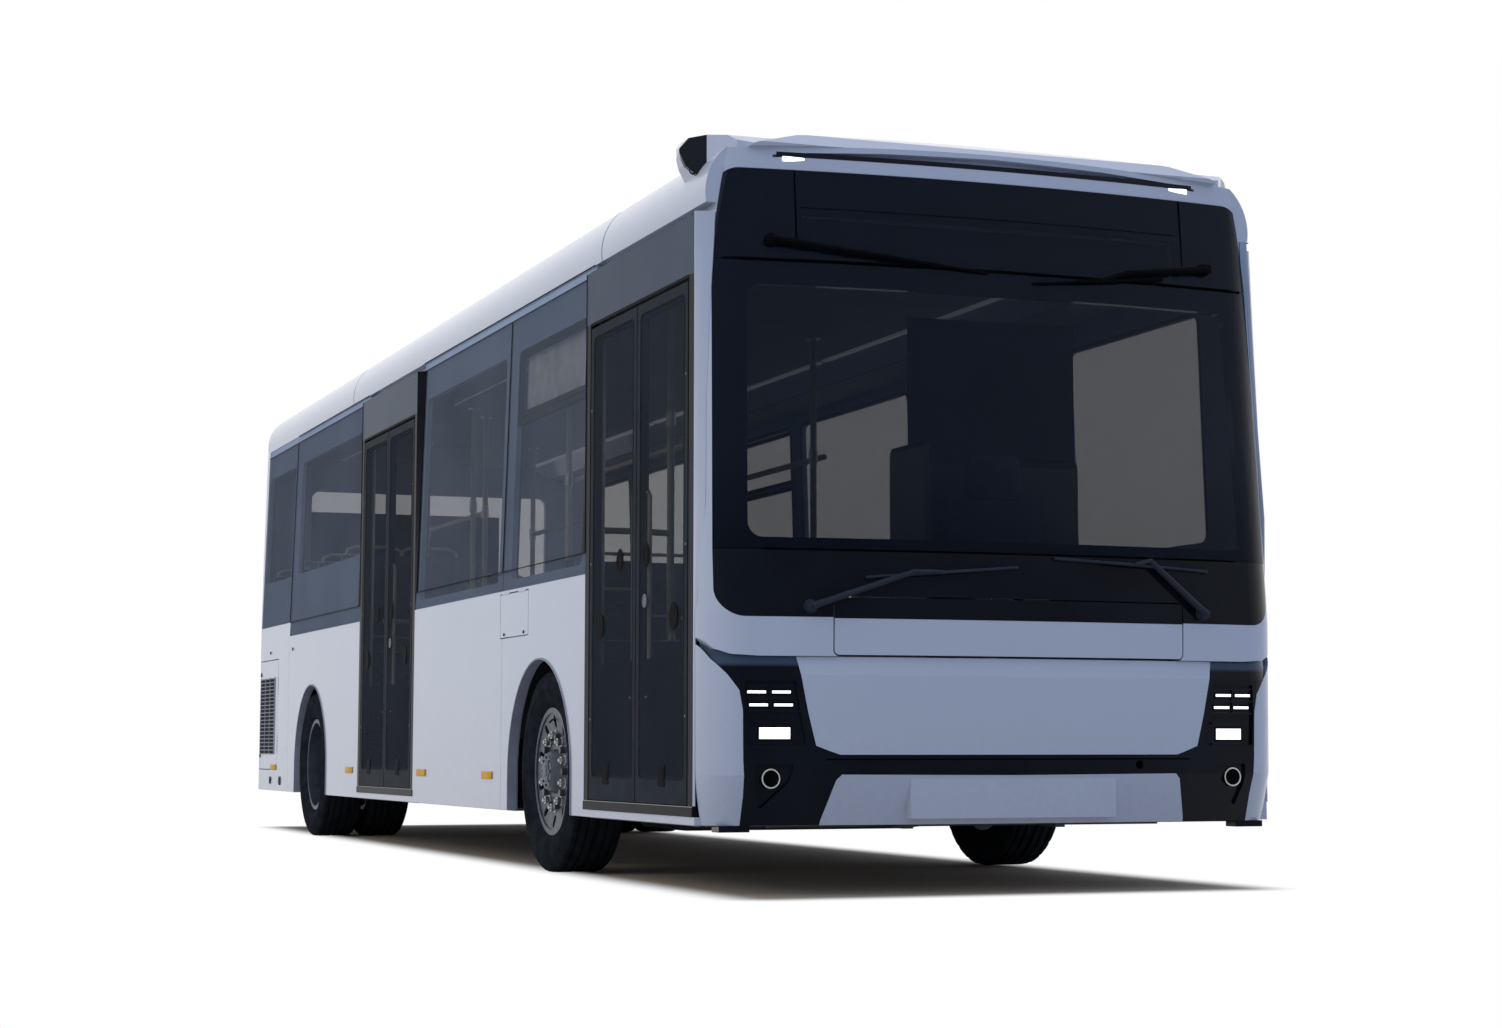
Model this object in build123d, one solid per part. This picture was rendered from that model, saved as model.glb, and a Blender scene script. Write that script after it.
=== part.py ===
from build123d import *
import math
import os

# Electric midibus, millimetres. The front faces -Y, the door side is -X and +Z is up.
# The origin is on the ground at the middle of the length and width.
os.makedirs("parts", exist_ok=True)

# Driving dimensions: the body
half_width = 1275.0
front_apex = -5095.0
rear_face = 5100.0
bow_radius = 8000.0
front_corner_radius = 185.0
rear_corner_radius = 170.0
skirt_z = 276.0
belt_z = 1342.0
band_top_z = 2738.0
gutter_z = 2690.0
upper_lean = 38.0
cove_top_z = 2966.0
cove_top_half = 1150.0
crown_z = 3004.0
wall = 50.0
band_wall = 40.0
glass = 6.0
glass_gap = 0.5
lid_gap = 6.0
front_seam_y = -4850.0
rear_seam_y = 4900.0

# Beyond the body on every side, for cuts and outlines
far_x = 1400.0
far_front = -5300.0
far_rear = 5300.0

# Driving dimensions: the floor
floor_top = 330.0
floor_thick = 60.0
platform_top = 800.0
platform_thick = 40.0
step_y = 1600.0
ceiling_z = 2700.0
duct_z = 2610.0

# Driving dimensions: the running gear
front_axle_y = -2610.0
rear_axle_y = 2965.0
tyre_radius = 467.0
tyre_width = 274.0
bead_radius = 286.0
bead_top = 300.0
bead_half = 98.0
bead_gap = 0.4
flange_radius = 296.0
flange_thick = 5.6
barrel_inner = 272.0
front_wheel_x = 1105.0
rear_outer_x = 1130.0
twin_spacing = 310.0
kingpin_x = 985.0
kingpin_radius = 20.0
spindle_radius = 36.0
running_clearance = 0.06
nut_circle = 335.0
nut_count = 10
arch_radius = 545.0
arch_z = 450.0
front_arch_y = -2610.0
rear_arch_y = 2960.0
front_box_inner = 430.0
rear_box_inner = 600.0
box_wall = 30.0
box_top = 1050.0
box_reach = 610.0

# Driving dimensions: the doors
door_bottom_z = 352.0
door_top_z = 2430.0
door_half_opening = 740.0
front_door_y = -4090.0
rear_door_y = 712.0
post_width = 60.0
post_depth = 30.0
jamb_gap = 15.0
middle_gap = 10.0
leaf_thick = 36.0
leaf_frame = 55.0
leaf_offset = 22.0
column_radius = 16.0
column_clearance = 6.0
arm_thick = 10.0
arm_width = 36.0
header_bottom_z = 2456.0


def box(x0, x1, y0, y1, z0, z1):
    """A box between two corners."""
    centre = ((x0 + x1) / 2, (y0 + y1) / 2, (z0 + z1) / 2)
    return Pos(*centre) * Box(abs(x1 - x0), abs(y1 - y0), abs(z1 - z0))


def outline(points, radius=0.0):
    """A closed face through the points, with every corner rounded by the radius."""
    face = make_face(Polyline(*points, close=True))
    if radius > 0.0:
        face = fillet(face.vertices(), radius)
    return face


def along_x(face_points, x0, x1, radius=0.0):
    """A prism along X from points given as (y, z)."""
    plane = Plane(origin=(x0, 0, 0), x_dir=(0, 1, 0), z_dir=(1, 0, 0))
    return extrude(plane * outline(face_points, radius), amount=x1 - x0)


def along_y(face_points, y0, y1, radius=0.0):
    """A prism along Y from points given as (x, z)."""
    plane = Plane(origin=(0, y1, 0), x_dir=(1, 0, 0), z_dir=(0, -1, 0))
    return extrude(plane * outline(face_points, radius), amount=y1 - y0)


def along_z(face_points, z0, z1, radius=0.0):
    """A prism along Z from points given as (x, y)."""
    return extrude(Pos(0, 0, z0) * outline(face_points, radius), amount=z1 - z0)


def rod_x(x0, x1, y, z, radius):
    """A cylinder along X."""
    return Pos((x0 + x1) / 2, y, z) * Rot(0, 90, 0) * Cylinder(radius, x1 - x0)


def rod_y(y0, y1, x, z, radius):
    """A cylinder along Y."""
    return Pos(x, (y0 + y1) / 2, z) * Rot(90, 0, 0) * Cylinder(radius, y1 - y0)


def rod_z(z0, z1, x, y, radius):
    """A cylinder along Z."""
    return Pos(x, y, (z0 + z1) / 2) * Cylinder(radius, z1 - z0)


def rectangle(a0, a1, b0, b1):
    """Four corners of a rectangle for a prism."""
    return [(a0, b0), (a1, b0), (a1, b1), (a0, b1)]


def mirrored(points):
    """Points of a right half, carried on with their mirror images."""
    return points + [(-a, b) for a, b in reversed(points)]


def keep(name, shapes):
    """Write one node from a shape or a list of shapes."""
    if not isinstance(shapes, list):
        shapes = [shapes]
    solids = []
    for shape in shapes:
        solids.extend(shape.solids())
    export_step(Compound(children=solids), f"parts/{name}.step")
    return solids


# The body's outer form: plan sections with a bowed front, cut by one cross-section

# Columns: height, place of the front's middle
front_sections = [
    (skirt_z, front_apex + 83.0),
    (470.0, front_apex + 15.0),
    (1100.0, front_apex),
    (3010.0, front_apex + 166.5),
]


def front_y(height, offset=0.0):
    """The front's middle at a height, moved in by an offset."""
    for (z0, y0), (z1, y1) in zip(front_sections, front_sections[1:]):
        if height <= z1:
            break
    return y0 + (y1 - y0) * (height - z0) / (z1 - z0) + offset


def bow(x):
    """How far the bowed front falls back at a distance from the middle."""
    return bow_radius - math.sqrt(bow_radius**2 - x**2)


def front_plan(apex, offset):
    """One plan section of the nose, from the apex back to a straight cut."""
    half = half_width - offset
    side_y = apex + offset + bow(half)
    back_y = -4200.0
    edges = Polyline((half, side_y), (half, back_y), (-half, back_y), (-half, side_y))
    face = make_face(edges + ThreePointArc((-half, side_y), (0, apex + offset), (half, side_y)))
    corners = face.vertices().sort_by(Axis.Y)[:2]
    return fillet(corners, front_corner_radius - offset)


def cross_section(offset, top):
    """The body's cross-section, moved in by an offset, as points (x, z)."""
    side = half_width - offset
    return mirrored([
        (side, skirt_z - 10),
        (side, belt_z),
        (side - upper_lean, gutter_z),
        (side - upper_lean - 4, band_top_z),
        (cove_top_half - offset, top),
    ])


def nose_form(offset):
    """The nose as a loft between the plan sections, moved in by an offset."""
    sections = [Pos(0, 0, z) * front_plan(apex, offset) for z, apex in front_sections]
    return loft(sections, ruled=True)


def nose(offset):
    """The nose with the body's leaning sides and coves."""
    return nose_form(offset) & along_y(cross_section(offset, cove_top_z), far_front, -4300)


nose_outer = nose(0.0)
nose_glass = nose(glass)
nose_frame = nose(glass + glass_gap)
nose_inner = nose(wall)


def nose_shell(outer, inner, z0, z1, back=front_seam_y):
    """A band of the nose's skin between two heights."""
    cut = box(-far_x, far_x, far_front, back, z0, z1)
    return (outer & cut) - inner


# Windscreen outline seen from the front, right half: (x, z)
cap_z = 2888.0
screen_half = [(1232, 1083), (1232, 1345), (1204, 2885)]
screen_prism = along_y(mirrored(screen_half), far_front, -4700, 110.0)
screen_clear = along_y(mirrored([(1105, 1395), (1080, 2410)]), far_front, -4700, 60.0)
display_clear = along_y(rectangle(-850, 850, 2540, 2705), far_front, -4700, 20.0)
flap_low_z = 931.0
flap_top_z = 1167.0
flap_half = 774.0
flap_cut = along_y(rectangle(-flap_half, flap_half, flap_low_z, flap_top_z), far_front, -4900, 25.0)
flap_form = along_y(rectangle(-flap_half + lid_gap, flap_half - lid_gap, flap_low_z + lid_gap,
                              flap_top_z - lid_gap), far_front, -4900, 20.0)

# Lower edge of the white surround seen from the front, right half: (x, z)
surround_low = [(1070, 931), (1175, 937), (1231, 958), (1275, 1006), (far_x, 1006)]
surround_prism = along_y(mirrored(surround_low + [(far_x, 3100)]), far_front, -4700)
lower_edge = [(x, z - 2.0) for x, z in surround_low]
lower_prism = along_y(mirrored(lower_edge + [(far_x, 200)]), far_front, -4700)

# Black lamp zones and bumper bar seen from the front, right half: (x, z)
black_right = [(0, 468), (735, 472), (756, 451), (800, 296), (804, 266), (1119, 266), (1119, 390),
               (1128, 529), (1131, 722), (1145, 798), (1188, 859), (1242, 920), (1273, 976), (far_x, 976),
               (far_x, 1030), (917, 1030), (917, 931), (898, 838), (873, 714), (840, 584), (784, 563),
               (742, 549), (0, 549)]
black_points = black_right + [(-a, b) for a, b in reversed(black_right[1:-1])]
black_prism = along_y(black_points, far_front, -4700)

# A ledge under the white band: the skin falls back between these heights
ledge_low_z = 857.0
ledge_top_z = 931.0
ledge_depth = 18.0
lower_top_z = 1012.0
ledge_sections = [(ledge_low_z, 0.0), (ledge_top_z, ledge_depth), (lower_top_z, ledge_depth)]
ledge_form = loft([Pos(0, 0, z) * front_plan(front_y(z), depth) for z, depth in ledge_sections], ruled=True)
ledge_cut = box(-far_x, far_x, far_front, -4700, ledge_low_z, lower_top_z) - ledge_form

hinge_radius = 4.5
hinge_pin = 2.2
hinge_room = 6.0
hinge_step = 40.0


def hinge(carrier, lid, rod, stations, u, v):
    """Give a lid and its carrier barrels and pins on one axis; rod(a, b, u, v, r) makes a round."""
    for middle in stations:
        a = middle - 1.5 * hinge_step
        b = middle + 1.5 * hinge_step
        inner_a = middle - 0.5 * hinge_step
        inner_b = middle + 0.5 * hinge_step
        carrier = carrier - rod(inner_a - 1, inner_b + 1, u, v, hinge_room)
        lid = lid - rod(a - 1, inner_a + 0.5, u, v, hinge_room)
        lid = lid - rod(inner_b - 0.5, b + 1, u, v, hinge_room)
        carrier = carrier + rod(a, inner_a, u, v, hinge_radius) + rod(inner_b, b, u, v, hinge_radius)
        carrier = carrier + rod(inner_a - 1, inner_b + 1, u, v, hinge_pin)
        lid = lid + rod(inner_a + 0.5, inner_b - 0.5, u, v, hinge_radius)
        lid = lid - rod(inner_a, inner_b, u, v, hinge_pin + running_clearance)
    return carrier, lid


# Front: black mask, glass, white surround, flap, lower panels, bumper
mask_upper = nose_shell(nose_frame, nose_inner, 1345, 2885) & screen_prism
mask_upper = mask_upper - screen_clear - display_clear
mask_lower = (nose_shell(nose_outer, nose_inner, 1080, 1347) & screen_prism) - flap_cut
front_mask = mask_upper + mask_lower
windscreen_main = nose_shell(nose_outer, nose_glass, 1349, 2508) & screen_prism
windscreen_top = nose_shell(nose_outer, nose_glass, 2512, 2885) & screen_prism
surround = nose_shell(nose_outer, nose_inner, 900, cap_z - 0.4) & surround_prism
surround = surround - screen_prism - flap_cut
flap_axis_y = front_y(flap_top_z - lid_gap / 2) + 2.0
flap_axis_z = flap_top_z - lid_gap / 2
front_flap = nose_shell(nose_outer, nose(25.0), 900, 1200) & flap_form
front_mask, front_flap = hinge(front_mask, front_flap, rod_x, [-90, 90], flap_axis_y, flap_axis_z)
keep("front_flap", front_flap)
keep("front_mask", front_mask)
keep("windscreen", [windscreen_main, windscreen_top])

lower_shell = nose_shell(nose_outer, nose_inner, skirt_z, 1010) & lower_prism
front_bumper = (lower_shell & black_prism) - ledge_cut
ledge_reach = 1000.0
ledge_middle = ledge_cut & box(-ledge_reach, ledge_reach, far_front, -4700, 800, lower_top_z)
front_panels = (lower_shell - black_prism) - ledge_middle

# Upright place for the number plate, in one piece with the lower panel
pad_half = 450.0
pad_z0, pad_z1 = 300.0, 455.0
pad = extrude(Pos(0, 0, pad_z0) * front_plan(front_y(pad_z1), 0.0), amount=pad_z1 - pad_z0)
pad = pad & box(-pad_half, pad_half, far_front, -4950, pad_z0, pad_z1)
front_panels = front_panels + (pad - nose_inner)
keep("front_surround", surround)
keep("front_panels", front_panels)

# Lamp recesses seen from the front, right half: (x, z)
recess_depth = 14.0
lamp_recess = [(925, 834), (1122, 834), (1124, 722), (1120, 588), (880, 588), (903, 710)]
fog_recess = [(927, 511), (1082, 511), (1080, 433), (1049, 336), (943, 444)]
recess_ring = nose_outer - nose(recess_depth)
skid_x0, skid_x1, skid_foot_x, skid_z = 1076.0, 1203.0, 1118.0, 250.0
for sign in (-1, 1):
    for recess in (lamp_recess, fog_recess):
        recess_prism = along_y([(sign * x, z) for x, z in recess], far_front, -4700, 8.0)
        front_bumper = front_bumper - (recess_ring & recess_prism)
    skid = box(skid_x0, skid_x1, -4930, -4850, skid_z, skirt_z - 0.4)
    skid = skid + box(skid_x0, skid_foot_x, -4930, -4890, skid_z, skirt_z + 1)
    front_bumper = front_bumper + (skid if sign > 0 else mirror(skid, about=Plane.YZ))

# Headlamp places seen from the front: (x0, x1, z0, z1)
fog_x, fog_z, fog_radius = 1018.0, 457.0, 39.0
lamp_table = [(937, 1070, 604, 660), (936, 1020, 780, 802), (1034, 1118, 780, 802),
              (927, 1012, 730, 752), (1026, 1110, 730, 752)]
lamp_set = []
lamp_face = nose(8.0)
for x0, x1, z0, z1 in lamp_table:
    for sign in (-1, 1):
        pocket = along_y(rectangle(sign * x0, sign * x1, z0, z1), far_front, -4950, 9.0)
        front_bumper = front_bumper - pocket
        lamp_set.append(nose_shell(lamp_face, nose_inner, z0 - 5, z1 + 5) & pocket)
for sign in (-1, 1):
    fog = rod_y(far_front, -4930, sign * fog_x, fog_z, fog_radius)
    front_bumper = front_bumper - fog
    lamp_set.append((lamp_face & fog) - nose_inner)
tow_x, tow_z, tow_radius = 560.0, 508.0, 18.0
tow_boss = 32.0
front_bumper = front_bumper + (rod_y(-5065, -4990, tow_x, tow_z, tow_boss) & nose_outer)
front_bumper = front_bumper - rod_y(far_front, -4980, tow_x, tow_z, tow_radius)
keep("front_bumper", front_bumper)
keep("headlamps", lamp_set)

# The tail's outer form
rear_bow = 14000.0


def rear_plan(offset):
    """The plan of the tail, moved in by an offset."""
    half = half_width - offset
    side_y = rear_face - offset - (rear_bow - math.sqrt(rear_bow**2 - half**2))
    edges = Polyline((half, side_y), (half, 4600), (-half, 4600), (-half, side_y))
    face = make_face(edges + ThreePointArc((-half, side_y), (0, rear_face - offset), (half, side_y)))
    corners = face.vertices().sort_by(Axis.Y)[-2:]
    return fillet(corners, rear_corner_radius - offset)


def tail_form(offset, top):
    """The tail's upright form, moved in by an offset."""
    return extrude(Pos(0, 0, skirt_z) * rear_plan(offset), amount=top - skirt_z)


def tail(offset):
    """The tail with the body's leaning sides."""
    return tail_form(offset, cove_top_z) & along_y(cross_section(offset, cove_top_z), 4500, far_rear)


# Roof: one long profile, a front cap and the housing above the windscreen
roof_outer_half = half_width - upper_lean - 4


def roof_profile():
    """The roof's section with a cove each side, a crowned top and air ducts inside."""
    cove_low = (roof_outer_half, band_top_z + 0.4)
    cove_mid = (roof_outer_half - 14, band_top_z + 130)
    cove_high = (cove_top_half, cove_top_z)
    duct_x = roof_outer_half - band_wall - 2
    right = [
        Line((0, ceiling_z), (760, ceiling_z)),
        Line((760, ceiling_z), (880, duct_z)),
        Line((880, duct_z), (duct_x, duct_z)),
        Line((duct_x, duct_z), (duct_x, band_top_z + 0.4)),
        Line((duct_x, band_top_z + 0.4), cove_low),
        ThreePointArc(cove_low, cove_mid, cove_high),
    ]
    left = [mirror(edge, about=Plane.YZ) for edge in right]
    crown = ThreePointArc(cove_high, (0, crown_z), (-cove_high[0], cove_high[1]))
    wires = right[0]
    for edge in right[1:] + [crown] + left:
        wires = wires + edge
    return make_face(wires)


roof_plane = Plane(origin=(0, rear_face + 50, 0), x_dir=(1, 0, 0), z_dir=(0, -1, 0))
roof_whole = extrude(roof_plane * roof_profile(), amount=rear_face + 50 - front_apex)
roof_side_y = front_seam_y + 2
roof = roof_whole & box(-far_x, far_x, roof_side_y, rear_seam_y - 2, duct_z - 10, crown_z + 10)
tail_roof_cut = box(-far_x, far_x, rear_seam_y - 3, far_rear, band_top_z + 0.4, 3010)
roof_tail = roof_whole & tail_form(0.0, 3010.0) & tail_roof_cut
roof = roof + roof_tail
keep("roof", roof)

# Front cap: the white band over the glass, a slot and the rounded housing on top
cap = roof_whole & nose_form(0.0) & box(-far_x, far_x, far_front, roof_side_y - 0.4, cap_z, 3010)
slot = nose_form(0.0) - nose_form(55.0)
slot_half = [(960, 2933), (960, 2944), (900, 2954), (500, 2975), (0.5, 2986), (0.5, 2958), (500, 2951),
             (900, 2938)]
slot_right = along_y(slot_half, far_front, -4800)
slot_middle = box(-2, 2, far_front, -4800, 2958, 2986)
cap = cap - (slot & (slot_right + mirror(slot_right, about=Plane.YZ) + slot_middle))
housing_side = along_x([(-4890, 2960), (-4905, 2990), (-4860, 3040), (-4700, 3092), (-4300, 3090),
                        (-3700, 3010), (-3600, 2960)], -1090, 1090)
housing_front = along_y(mirrored([(1085, 2955), (1040, 2984), (850, 3036), (420, 3076), (0.5, 3092)]),
                        -5000, -3500)
housing = housing_side & housing_front

# Camera horns: swept out of the housing, with a dark cap on each end, right half first
horn_plan = [(880, -4880), (1000, -4868), (1100, -4840), (1184, -4719), (1270, -4617), (1262, -4560),
             (1130, -4470), (880, -4380)]
horn_front = [(880, 2930), (1100, 2885), (1205, 2868), (1250, 2925), (1272, 2995), (1240, 3038),
              (1150, 3044), (880, 3046)]
horn_side = [(-4890, 2860), (-4885, 2975), (-4800, 3028), (-4690, 3046), (-4370, 3046), (-4370, 2860)]
horn = along_z(horn_plan, 2860, 3050) & along_y(horn_front, -4900, -4370) & along_x(horn_side, 870, 1300)
horn_end = (1227.0, -4668.0, 2950.0)
horn_angle = -40.1
horn_cap_depth = 14.0
horn_cap_wide = 130.0
cap_gap = 0.4
end_place = Pos(*horn_end) * Rot(0, 0, horn_angle)
beyond = end_place * Pos(100 - horn_cap_depth, 0, 0) * Box(200, horn_cap_wide, 400)
horn_cap = (horn & beyond) - roof_whole
seat = end_place * Pos(100 - horn_cap_depth - cap_gap, 0, 0) * Box(200, horn_cap_wide + 2 * cap_gap, 400)
horn = horn - seat
housing = (housing + horn + mirror(horn, about=Plane.YZ)) - roof_whole
keep("roof_front", [cap, housing])
keep("camera_pods", [horn_cap, mirror(horn_cap, about=Plane.YZ)])

# Side walls with arches and doorways
door_centres = {"front": front_door_y, "rear": rear_door_y}


def arch_prism(centre_y, x0, x1, radius=arch_radius):
    """The wheel arch opening: a round top on straight legs down past the skirt."""
    legs = along_x(rectangle(centre_y - radius, centre_y + radius, skirt_z - 20, arch_z), x0, x1)
    plane = Plane(origin=(x0, 0, 0), x_dir=(0, 1, 0), z_dir=(1, 0, 0))
    round_top = extrude(plane * (Pos(centre_y, arch_z) * Circle(radius)), amount=x1 - x0)
    return legs + (round_top & box(x0, x1, centre_y - 800, centre_y + 800, arch_z - 1, 1200))


sill_top = 307.0
wall_right = box(-half_width, -half_width + wall, front_seam_y + 2, rear_seam_y - 2, skirt_z, belt_z)
wall_left = box(half_width - wall, half_width, front_seam_y + 2, rear_seam_y - 2, skirt_z, belt_z)
for centre_y in (front_arch_y, rear_arch_y):
    wall_right = wall_right - arch_prism(centre_y, -half_width - 20, -half_width + wall + 20)
    wall_left = wall_left - arch_prism(centre_y, half_width - wall - 20, half_width + 20)
for centre_y in door_centres.values():
    y0 = centre_y - door_half_opening
    y1 = centre_y + door_half_opening
    wall_right = wall_right - box(-far_x, -1100, y0, y1, sill_top, belt_z + 10)
    wall_right = wall_right - box(-half_width + post_depth, -1100, y0, y1, skirt_z - 10, belt_z + 10)
front_stub = box(-far_x, -1100, front_seam_y - 10, front_door_y - door_half_opening, sill_top, belt_z + 10)
wall_right = wall_right - front_stub

# Side flap under the first window seam: (y0, y1, z0, z1), hinged along its top
side_flap_place = (-2410.0, -1890.0, 1108.0, 1330.0)
flap_y0, flap_y1, flap_z0, flap_z1 = side_flap_place
flap_skin = 20.0
wall_right = wall_right - box(-far_x, -half_width + flap_skin + 4, flap_y0, flap_y1, flap_z0, flap_z1)
side_flap = box(-half_width, -half_width + flap_skin, flap_y0 + lid_gap, flap_y1 - lid_gap,
                flap_z0 + lid_gap, flap_z1 - lid_gap)
wall_right, side_flap = hinge(wall_right, side_flap, rod_y, [-2300, -2000], -half_width + 1.0,
                              flap_z1 - lid_gap / 2)
keep("side_flap", side_flap)

# Service door with a grille at the rear of the door side: (y0, y1, z0, z1), hinged along its front edge
service_place = (4180.0, 4880.0, 420.0, 1200.0)
svc_y0, svc_y1, svc_z0, svc_z1 = service_place
service_skin = 30.0
wall_right = wall_right - box(-far_x, -1200, svc_y0, svc_y1, svc_z0, svc_z1)
service_door = box(-half_width, -half_width + service_skin, svc_y0 + lid_gap, svc_y1 - lid_gap,
                   svc_z0 + lid_gap, svc_z1 - lid_gap)
grille_slots = []
for row in range(6):
    for column in range(10):
        slot_y = 4290 + column * 58
        slot_z = 540 + row * 90
        grille_slots.append(box(-far_x, -1200, slot_y, slot_y + 34, slot_z, slot_z + 62))
service_door = service_door - grille_slots
wall_right, service_door = hinge(wall_right, service_door, rod_z, [600, 1020], -half_width + 1.0,
                                 svc_y0 + lid_gap / 2)
keep("service_door", service_door)

# Window bands: leaning walls with the windows cut, glass flush with the outside
band_low = belt_z + 0.4
rear_belt_y = 3770.0
rear_belt_z = 1437.0


def band_solid(y0, y1, side, outer_offset, inner_offset, z0=None, z1=None):
    """A stretch of the leaning band between two offsets from the body's outside."""
    z0 = band_low if z0 is None else z0
    z1 = band_top_z if z1 is None else z1

    def lean_x(z, offset):
        return side * (half_width - offset - upper_lean * (z - belt_z) / (gutter_z - belt_z))

    points = [(lean_x(z0, outer_offset), z0), (lean_x(z0, inner_offset), z0),
              (lean_x(z1, inner_offset), z1), (lean_x(z1, outer_offset), z1)]
    return along_y(points, y0, y1)


# Upright panel seams in the lower sides: side, y
seam_table = [(-1, -1929), (-1, 3770), (1, -3100), (1, -1340), (1, 470), (1, 2300), (1, 3770)]
seam_half = 2.0
seam_depth = 3.0
walls = {-1: wall_right, 1: wall_left}
for side, seam_y in seam_table:
    a, b = sorted((side * (half_width - seam_depth), side * (half_width + 5)))
    walls[side] = walls[side] - box(a, b, seam_y - seam_half, seam_y + seam_half, skirt_z - 1, belt_z - 45)
for side, label in ((-1, "right"), (1, "left")):
    raised = band_solid(rear_belt_y, rear_seam_y - 2, side, 0.0, band_wall, belt_z - 1, rear_belt_z)
    keep(f"side_wall_{label}", walls[side] + raised)

# Windows: side, y0, y1, z0, z1 of the clear part
window_table = [
    (-1, -3270, -2060, 1392, 2520),
    (-1, -1830, -110, 1392, 2520),
    (-1, 1560, 3600, 1760, 2530),
    (-1, 3850, 4850, 1760, 2530),
    (1, -4460, -3180, 1470, 2480),
    (1, -3020, -1440, 1392, 2530),
    (1, -1250, 380, 1392, 2530),
    (1, 560, 2200, 1392, 2530),
    (1, 2380, 3600, 1760, 2530),
    (1, 3850, 4850, 1760, 2530),
]
# Panes: side, y0, y1
pane_table = [
    (-1, -3346, -1932),
    (-1, -1926, -34),
    (-1, 1456, 3766),
    (-1, 3774, 4890),
    (1, -4840, -3104),
    (1, -3096, -1344),
    (1, -1336, 466),
    (1, 474, 2296),
    (1, 2304, 3766),
    (1, 3774, 4890),
]
band_spans = {
    -1: [(front_door_y + door_half_opening, rear_door_y - door_half_opening),
         (rear_door_y + door_half_opening, rear_seam_y - 2)],
    1: [(front_seam_y + 2, rear_seam_y - 2)],
}
for side, label in ((-1, "right"), (1, "left")):
    spans = [band_solid(y0, y1, side, glass + glass_gap, band_wall) for y0, y1 in band_spans[side]]
    holes = []
    for pane_side, y0, y1, z0, z1 in window_table:
        if pane_side == side:
            x0, x1 = sorted((side * 1100, side * far_x))
            holes.append(along_x(rectangle(y0, y1, z0, z1), x0, x1, 45.0))
    holes.append(box(-far_x, far_x, rear_belt_y - 0.4, rear_seam_y, band_low - 5, rear_belt_z + 0.4))
    spans = [span - holes for span in spans]
    keep(f"window_band_{label}", spans)
window_panes = []
for side, y0, y1 in pane_table:
    pane_low = rear_belt_z if y0 > rear_belt_y else band_low
    window_panes.append(band_solid(y0, y1, side, 0.0, glass, pane_low + 3, gutter_z - 4))

# Doorway frames: sill strip, posts, header and drive cover in one piece for each doorway
sill_z = 345.0
sill_proud = 4.0
door_frames = []
for centre_y in door_centres.values():
    y0 = centre_y - door_half_opening
    y1 = centre_y + door_half_opening
    outer_x = -half_width
    frame = box(outer_x, outer_x + 210, y0, y1, header_bottom_z, duct_z - 0.4)
    frame = frame + box(outer_x, outer_x + post_depth, y0, y1, header_bottom_z, gutter_z)
    frame = frame + box(outer_x, outer_x + post_depth, y0, y0 + post_width, sill_z, header_bottom_z + 1)
    frame = frame + box(outer_x, outer_x + post_depth, y1 - post_width, y1, sill_z, header_bottom_z + 1)
    frame = frame + box(outer_x - sill_proud, outer_x + post_depth, y0, y1, sill_top + 0.3, sill_z)
    door_frames.append(frame)
keep("door_frames", door_frames)

# Door leaves: each glides inward on an arm, half a turn's ratio keeps its closing edge on the sill
leaf_width = (2 * (door_half_opening - post_width - jamb_gap) - middle_gap) / 2
leaf_half = leaf_width / 2
leaf_outboard = leaf_offset + leaf_thick
arm_length = math.hypot(leaf_half, leaf_outboard) + column_radius + column_clearance
track_x = -half_width + leaf_outboard
arm_low_z = floor_top + 6.0
pin_radius = 6.0
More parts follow.
